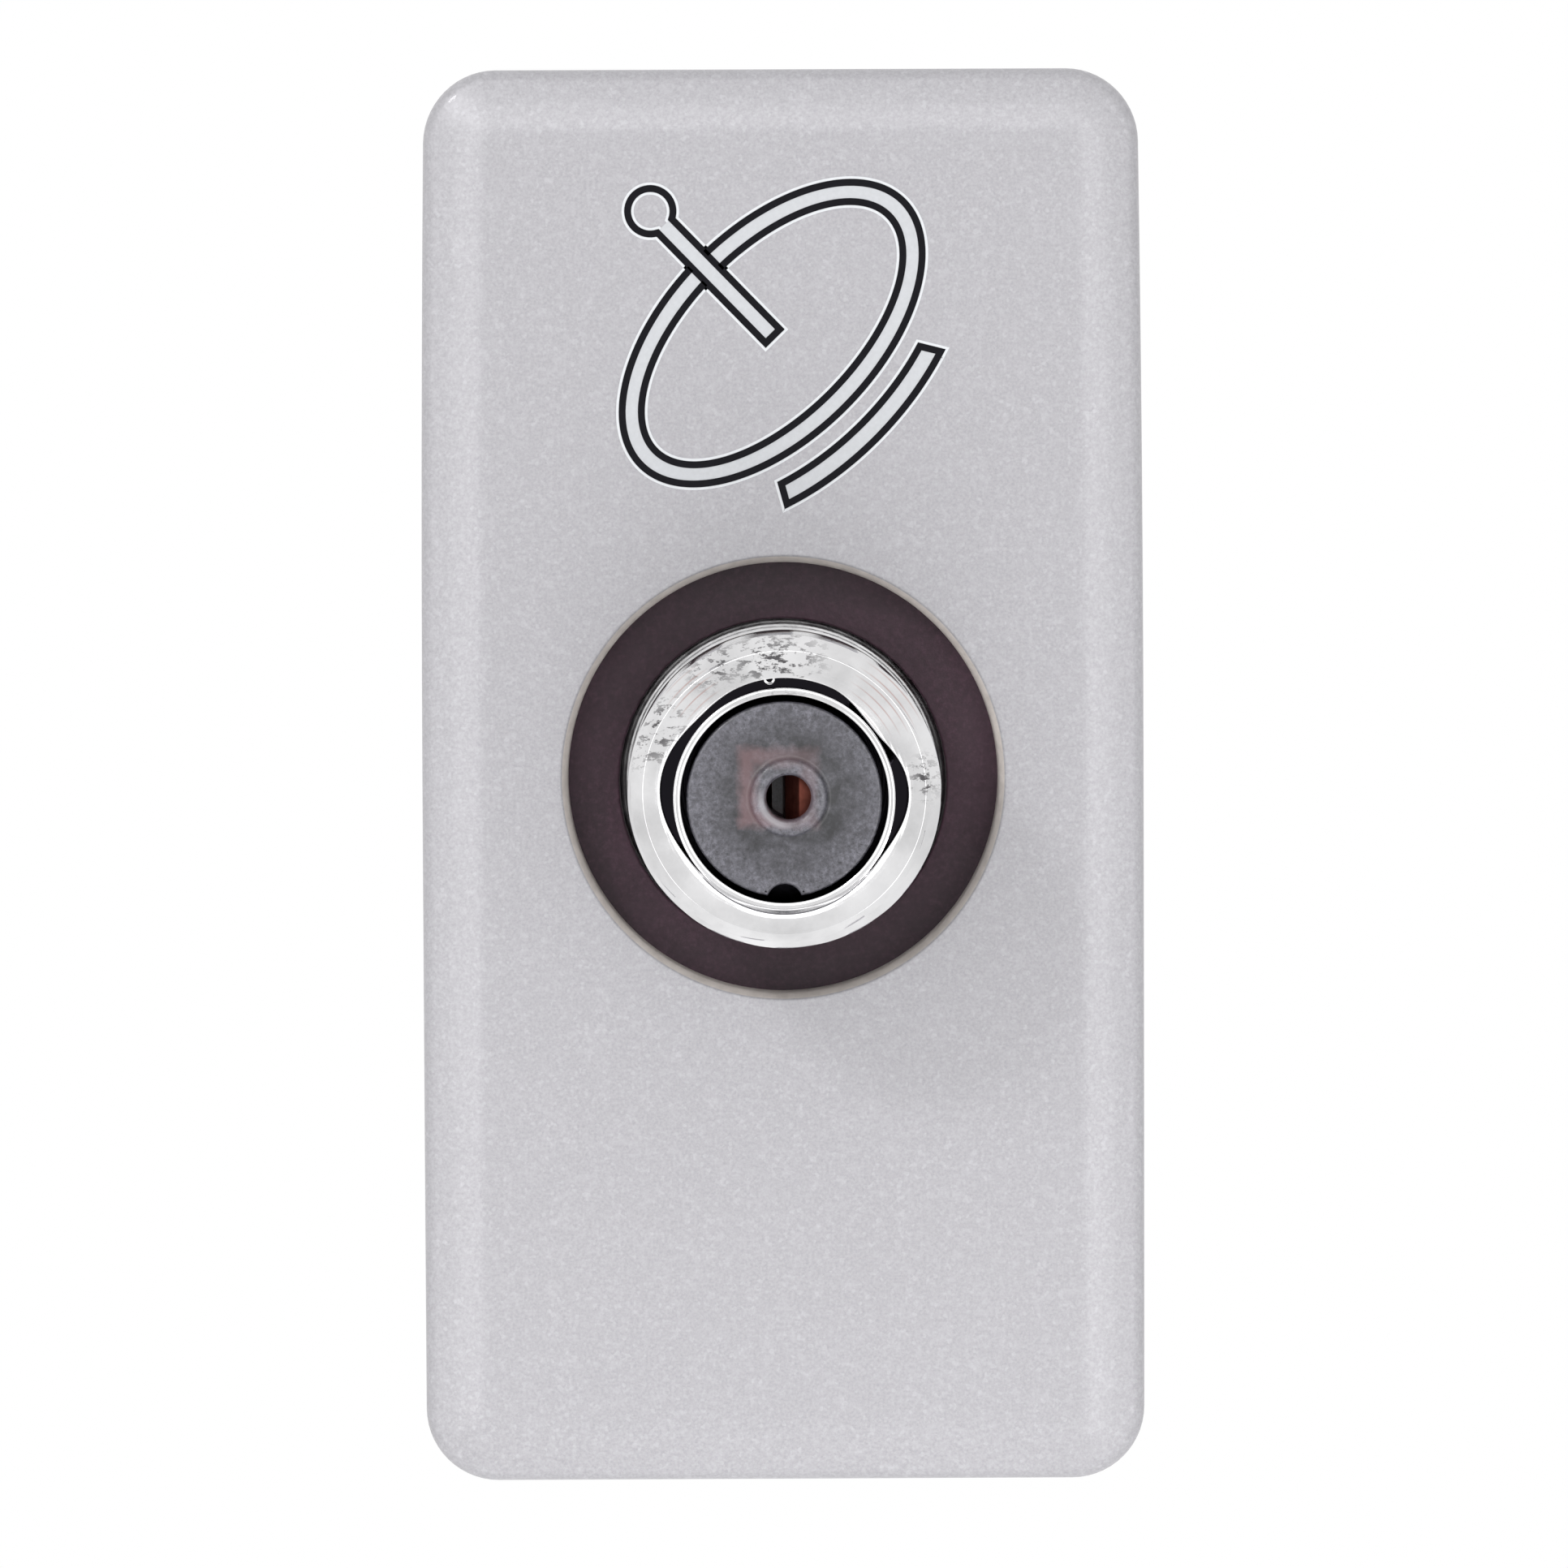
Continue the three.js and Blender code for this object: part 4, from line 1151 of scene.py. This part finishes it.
def make_connector_back():
    # toothed lock washer
    bm = bmesh.new()

    def outer(yy, grow):
        def f(t):
            p = (t / (2 * PI) * 22) % 1.0
            up = min(max((abs(2 * p - 1) - 0.35) / 0.16, 0), 1)
            lift = (p - 0.5) * 0.34 * (1 - up)
            return (5.15 + (0.83 - grow) * (1 - up), yy + lift * 0.6)
        return f
    rows = [lambda t: (4.12, -2.86), outer(-2.78, 0.03), outer(-2.72, 0.0), outer(-2.48, 0.0), outer(-2.42, 0.03), lambda t: (4.12, -2.34)]
    radial(bm, rows, 352, 0, ZC)
    finish_mesh(bm, "toothed_washer", M["zinc"], "housing", ("connector_lock_washer",), smooth=30)
    # chamfered hexagon nut
    hexa = bmesh.new()
    prism(hexa, [(6.35 * math.sin(k * PI / 3), ZC + 6.35 * math.cos(k * PI / 3)) for k in range(6)], -2.3, -0.2)
    lens = bmesh.new()
    lathe(lens, [(0, -2.5), (5.6, -2.5), (5.6, -2.3), (6.5, -1.85), (6.5, -0.65), (5.6, -0.2), (5.6, 0.0), (0, 0.0)], 96, 0, ZC)
    nut = boolean(hexa, lens, "INTERSECT")
    bore = bmesh.new()
    rows = [lambda t: (4.35, -2.6), lambda t: (4.35, -2.34)]
    y = -2.2
    while y < -0.3:
        rows.append(lambda t, y=y: (thread_r(y, t, 4.22, 0.24, PITCH), y))
        y += PITCH / 10
    rows += [lambda t: (4.35, -0.16), lambda t: (4.35, 0.2)]
    rs = radial(bore, rows, 72, 0, ZC, closed=False)
    cap(bore, rs[0])
    cap(bore, rs[-1])
    nut = boolean(nut, bore)
    finish_mesh(nut, "hexagon_nut", M["nickel"], "housing", ("connector_nut",), smooth=32)
    bm = bmesh.new()
    lathe(bm, rounded_path([(0.5, -6.1, 0), (1.93, -6.1, 0.1), (1.93, 0.6, 0.16), (0.5, 0.6, 0.05)], 3, closed=True), 56, 0, ZC)
    finish_mesh(bm, "tail_sleeve", M["white"], "housing", ("rear_insulator",))


make_connector_back()

# ------------------------------------------------------------------ circuit board and what it carries


def dome(bm, x, z, r, h, y=3.6, n=24, hole=0.0):
    """A solder fillet on the board."""
    prof = [(r, y - 0.03), (r * 0.97, y + h * 0.12), (r * 0.72, y + h * 0.42), (max(r * 0.42, hole), y + h * 0.85), (max(r * 0.2, hole * 0.8), y + h), (0, y + h * 1.02)]
    lathe(bm, prof, n, x, z, closed=False)
    bmesh.ops.holes_fill(bm, edges=[e for e in bm.edges if e.is_boundary], sides=0)


def make_board():
    Z = ZC
    refined("circuit_board", "printed_board", M["board"], "housing", width=0.05, angle=40, seg=1)
    tracks = bmesh.new()
    top, back = (3.595, 3.625), (2.605, 2.575)
    for pts, w in (
        ([(0, Z), (0, Z + 1.6), (-1.2, Z + 2.2), (-1.2, Z + 8.6), (-2.0, Z + 9.3)], 0.7),
        ([(0, Z), (2.2, Z - 0.4), (3.2, Z - 2.1), (3.6, Z - 2.15)], 0.6),
        ([(5.6, Z - 2.15), (6.0, Z - 1.6), (6.0, Z + 9.0), (4.0, Z + 11.2)], 0.6),
        ([(1.8, Z + 11.2), (0.4, Z + 12.6), (-5.0, Z + 13.3), (-6.1, Z + 12.4), (-6.1, Z + 2.0), (-4.9, Z + 1.0)], 0.5),
        ([(-4.9, Z - 3.4), (-3.0, Z - 4.4), (1.0, Z - 4.4), (3.6, Z - 2.6)], 0.6),
    ):
        ribbon(tracks, pts, w, top[0], top[1])
    for pts, w in (([(-6.0, Z - 4.6), (6.0, Z - 4.6), (6.0, Z + 13.4), (-6.0, Z + 13.4), (-6.0, Z - 4.6)], 0.9), ([(0, Z), (0, Z + 5), (3.0, Z + 8)], 1.2)):
        ribbon(tracks, pts, w, back[0], back[1])
    finish_mesh(tracks, "board_tracks", M["track"], "housing")
    sol = bmesh.new()
    dome(sol, 0, Z, 1.0, 0.62, hole=0.44)
    for x, z in ((1.8, Z + 11.2), (4.0, Z + 11.2)):
        dome(sol, x, z, 0.62, 0.5, hole=0.26)
    for x, z in ((-4.9, Z - 3.4), (-4.9, Z + 1.0), (-5.6, Z + 8.5), (-1.0, Z + 8.5)):
        dome(sol, x, z, 0.5, 0.36, hole=0.18)
    for x in (3.45, 5.75):
        dome(sol, x, Z - 2.18, 0.42, 0.26)
    for x, z in ((-6.1, Z - 4.6), (6.1, Z - 4.6), (-6.1, Z + 13.3), (6.1, Z + 13.3)):
        dome(sol, x, z, 0.42, 0.14)
    finish_mesh(sol, "solder_joints", M["solder"], "housing", smooth=60)

    # ferrite with its two windings
    refined("ferrite_core", "ferrite_two_hole", M["ferrite"], "housing", width=0.28, angle=50, seg=3)
    wind = bmesh.new()
    x0, x1, yc = -4.5, -2.0, 5.2
    z0, z1 = Z + 9.4, Z + 12.6
    for k in range(3):
        o = (k - 1) * 0.36
        pts = [(x0 + o, yc + 0.05, z0 - 0.28), (x0 + o, yc, z0 + 0.3), (x0 + o, yc, z1 - 0.2), (x0 + o + 0.1, yc + 0.1 * k, z1 + 0.22), ((x0 + x1) / 2, yc + 0.25 * (k - 1), z1 + 0.33),
               (x1 + o - 0.1, yc + 0.1 * k, z1 + 0.22), (x1 + o, yc, z1 - 0.2), (x1 + o, yc, z0 + 0.3), (x1 + o, yc + 0.05, z0 - 0.28)]
        wire(wind, catmull(pts, 7), 0.13, 10)
        if k < 2:
            pts = [(x1 + o, yc + 0.05, z0 - 0.26), ((x0 + x1) / 2 + 0.3, yc + 0.3 * (k - 0.5), z0 - 0.4), (x0 + o + 0.36, yc + 0.05, z0 - 0.26)]
            wire(wind, catmull(pts, 7), 0.13, 10)
    wire(wind, catmull([(x0 - 0.36, yc, z0 - 0.2), (-5.2, 4.6, z0 - 0.6), (-5.6, 3.9, Z + 8.5), (-5.6, 3.6, Z + 8.5)], 6), 0.13, 10)
    wire(wind, catmull([(x1 + 0.36, yc, z0 - 0.2), (-1.3, 4.6, z0 - 0.6), (-1.0, 3.9, Z + 8.5), (-1.0, 3.6, Z + 8.5)], 6), 0.13, 10)
    finish_mesh(wind, "ferrite_windings", M["enamel"], "housing", smooth=60)

    # wire-wound choke
    coil = bmesh.new()
    cx, cy, cr, wr = -4.9, 5.2, 1.14, 0.19
    pts = [(cx, 3.58, Z - 3.4), (cx, 3.9, Z - 3.4)]
    turns, m = 10, 28
    za, zb = Z - 3.35, Z + 0.95
    for k in range(turns * m + 1):
        a = -PI / 2 + 2 * PI * k / m
        pts.append((cx + cr * math.cos(a), cy + cr * math.sin(a), za + (zb - za) * k / (turns * m)))
    pts += [(cx, 3.9, Z + 0.98), (cx, 3.58, Z + 1.0)]
    wire(coil, pts, wr, 10)
    finish_mesh(coil, "wound_choke", M["enamel"], "housing", ("choke_coil",), smooth=60)

    # dipped disc capacitor on two tinned leads
    capb = bmesh.new()
    lathe(capb, rounded_path([(0, -0.80, 0), (1.5, -0.78, 0.5), (2.33, -0.30, 0.35), (2.33, 0.30, 0.35), (1.5, 0.78, 0.5), (0, 0.80, 0)], 6), 64)
    for v in capb.verts:
        v.co += Vector((noise.noise(v.co * 0.9), 0, noise.noise(v.co * 0.9 + Vector((7, 1, 3))))) * 0.05
    capb.transform(Matrix.Translation((2.9, 6.5, Z + 11.2)) @ Matrix.Rotation(PI / 2, 4, "X"))
    for x in (1.8, 4.0):
        wire(capb, [(x, 5.6, Z + 11.2), (x, 4.9, Z + 11.2), (x, 4.5, Z + 11.2), (x, 4.25, Z + 11.2)], 0.36, 14)
    finish_mesh(capb, "dipped_capacitor", M["cap"], "housing", ("coupling_capacitor",), smooth=60)
    leads = bmesh.new()
    for x in (1.8, 4.0):
        wire(leads, [(x, 4.6, Z + 11.2), (x, 3.58, Z + 11.2)], 0.2, 14)
    finish_mesh(leads, "capacitor_leads", M["tin"], "housing", smooth=60)

    # chip resistor: ceramic block, coated top and tinned ends
    for name, mat, slot, boxes, w in (
        ("chip_body", M["chip"], "resistor_body", ((3.62, 5.58, 3.98, 4.14, Z - 2.77, Z - 1.58),), 0.03),
        ("chip_ceramic", M["white"], "white_plastic", ((3.61, 5.59, 3.6, 3.99, Z - 2.79, Z - 1.56),), 0.02),
        ("chip_ends", M["tin"], "nickel", ((3.6, 3.96, 3.6, 4.15, Z - 2.8, Z - 1.55), (5.24, 5.6, 3.6, 4.15, Z - 2.8, Z - 1.55)), 0.04),
    ):
        bm = bmesh.new()
        for b in boxes:
            box_bm(bm, *b)
        round_edges(bm, w, 40, 2)
        finish_mesh(bm, name, mat, "housing", ("chip_resistor",) if name == "chip_body" else ())


def make_terminal():
    Z = ZC
    refined("terminal_holder", "terminal_post", M["white"], "housing", width=0.16, angle=40, seg=2)
    refined("terminal_block", "terminal_body", M["brass"], "housing", width=0.09, angle=40, seg=2)
    bm = bmesh.new()
    box_bm(bm, -1.6, 1.6, 13.06, 13.5, Z + 2.6, Z + 7.8)
    round_edges(bm, 0.05, 40, 2)
    for k in range(9):
        z = Z + 2.95 + k * 0.56
        prism(bm, [(13.08, z), (13.08, z + 0.34), (13.0, z + 0.17)], -1.5, 1.5, axis="X")
    finish_mesh(bm, "pressure_plate", M["zinc"], "clamp_plate", ("terminal_clamp_plate",), smooth=30)


make_board()
make_terminal()

# ------------------------------------------------------------------ camera, light and floor


def make_stage():
    scene = bpy.context.scene
    scene.view_settings.view_transform = "Standard"
    scene.view_settings.look = "None"
    scene.view_settings.exposure = 0
    scene.view_settings.gamma = 1
    dist, az, el, roll = 235.0, math.radians(-0.3), math.radians(2.4), math.radians(0.23)
    target = Vector((0.022, FACE_Y, -0.19))
    pos = target + Vector((math.sin(az) * math.cos(el), -math.cos(az) * math.cos(el), math.sin(el))) * dist
    cam = bpy.data.cameras.new("camera")
    cam.sensor_width = 36
    cam.lens = 36 * dist / 48.50
    cam.clip_start, cam.clip_end = 0.01, 50
    ob = bpy.data.objects.new("camera", cam)
    scene.collection.objects.link(ob)
    q = (target - pos).to_track_quat("-Z", "Y")
    ob.matrix_world = Matrix.Translation(pos * MM) @ q.to_matrix().to_4x4() @ Matrix.Rotation(-roll, 4, "Z")
    scene.camera = ob

    w = bpy.data.worlds.new("studio")
    scene.world = w
    w.use_nodes = True
    w.node_tree.nodes["Background"].inputs[0].default_value = (1.0, 1.0, 1.0, 1)
    w.node_tree.nodes["Background"].inputs[1].default_value = 1.0

    def area(name, at, aim, size, power, colour=(1, 1, 1), shape="DISK"):
        d = bpy.data.lights.new(name, "AREA")
        d.shape = shape
        d.size = size * MM
        d.energy = power
        d.color = colour
        o = bpy.data.objects.new(name, d)
        scene.collection.objects.link(o)
        at, aim = Vector(at), Vector(aim)
        o.matrix_world = Matrix.Translation(at * MM) @ (aim - at).to_track_quat("-Z", "Y").to_matrix().to_4x4()
        return o
    def rect(name, at, w_, h_, radiance):
        o = area(name, at, (0, -9, 0), 1, radiance * PI * w_ * h_ * MM * MM, shape="RECTANGLE")
        o.data.size, o.data.size_y = w_ * MM, h_ * MM
        return o
    area("key", (-197, -245, 218), (0, -9, 0), 46, 0.17)
    area("key_soft", (-197, -245, 218), (0, -9, 0), 95, 0.34).visible_glossy = False
    rect("sheen_top", (0, -270, 150), 300, 110, 1.7).visible_diffuse = False
    rect("sheen_left", (-150, -270, 0), 110, 340, 1.7).visible_diffuse = False
    rect("sheen_right", (150, -270, -30), 110, 340, 2.0).visible_diffuse = False
    area("low_fill", (5, -69, -80), (0, -9, -20), 90, 0.060).visible_glossy = False
    area("left_fill", (-260, -60, -10), (0, -9, 0), 150, 0.09).visible_glossy = False
    area("right_fill", (260, -60, -40), (0, -9, 0), 150, 0.13).visible_glossy = False
    area("top_fill", (0, -60, 260), (0, -9, 0), 150, 0.06).visible_glossy = False

    # pale floor well below the outlet, which a wall frame holds up
    bm = bmesh.new()
    bmesh.ops.create_grid(bm, x_segments=1, y_segments=1, size=1600)
    for v in bm.verts:
        v.co.z = -330
    floor = finish_mesh(bm, "floor", simple("floor", (0.965, 0.965, 0.965), (0.5, 0.6), 0, 60, 0.02, spread=0.01), None, recalc=False)
    return ob


make_stage()
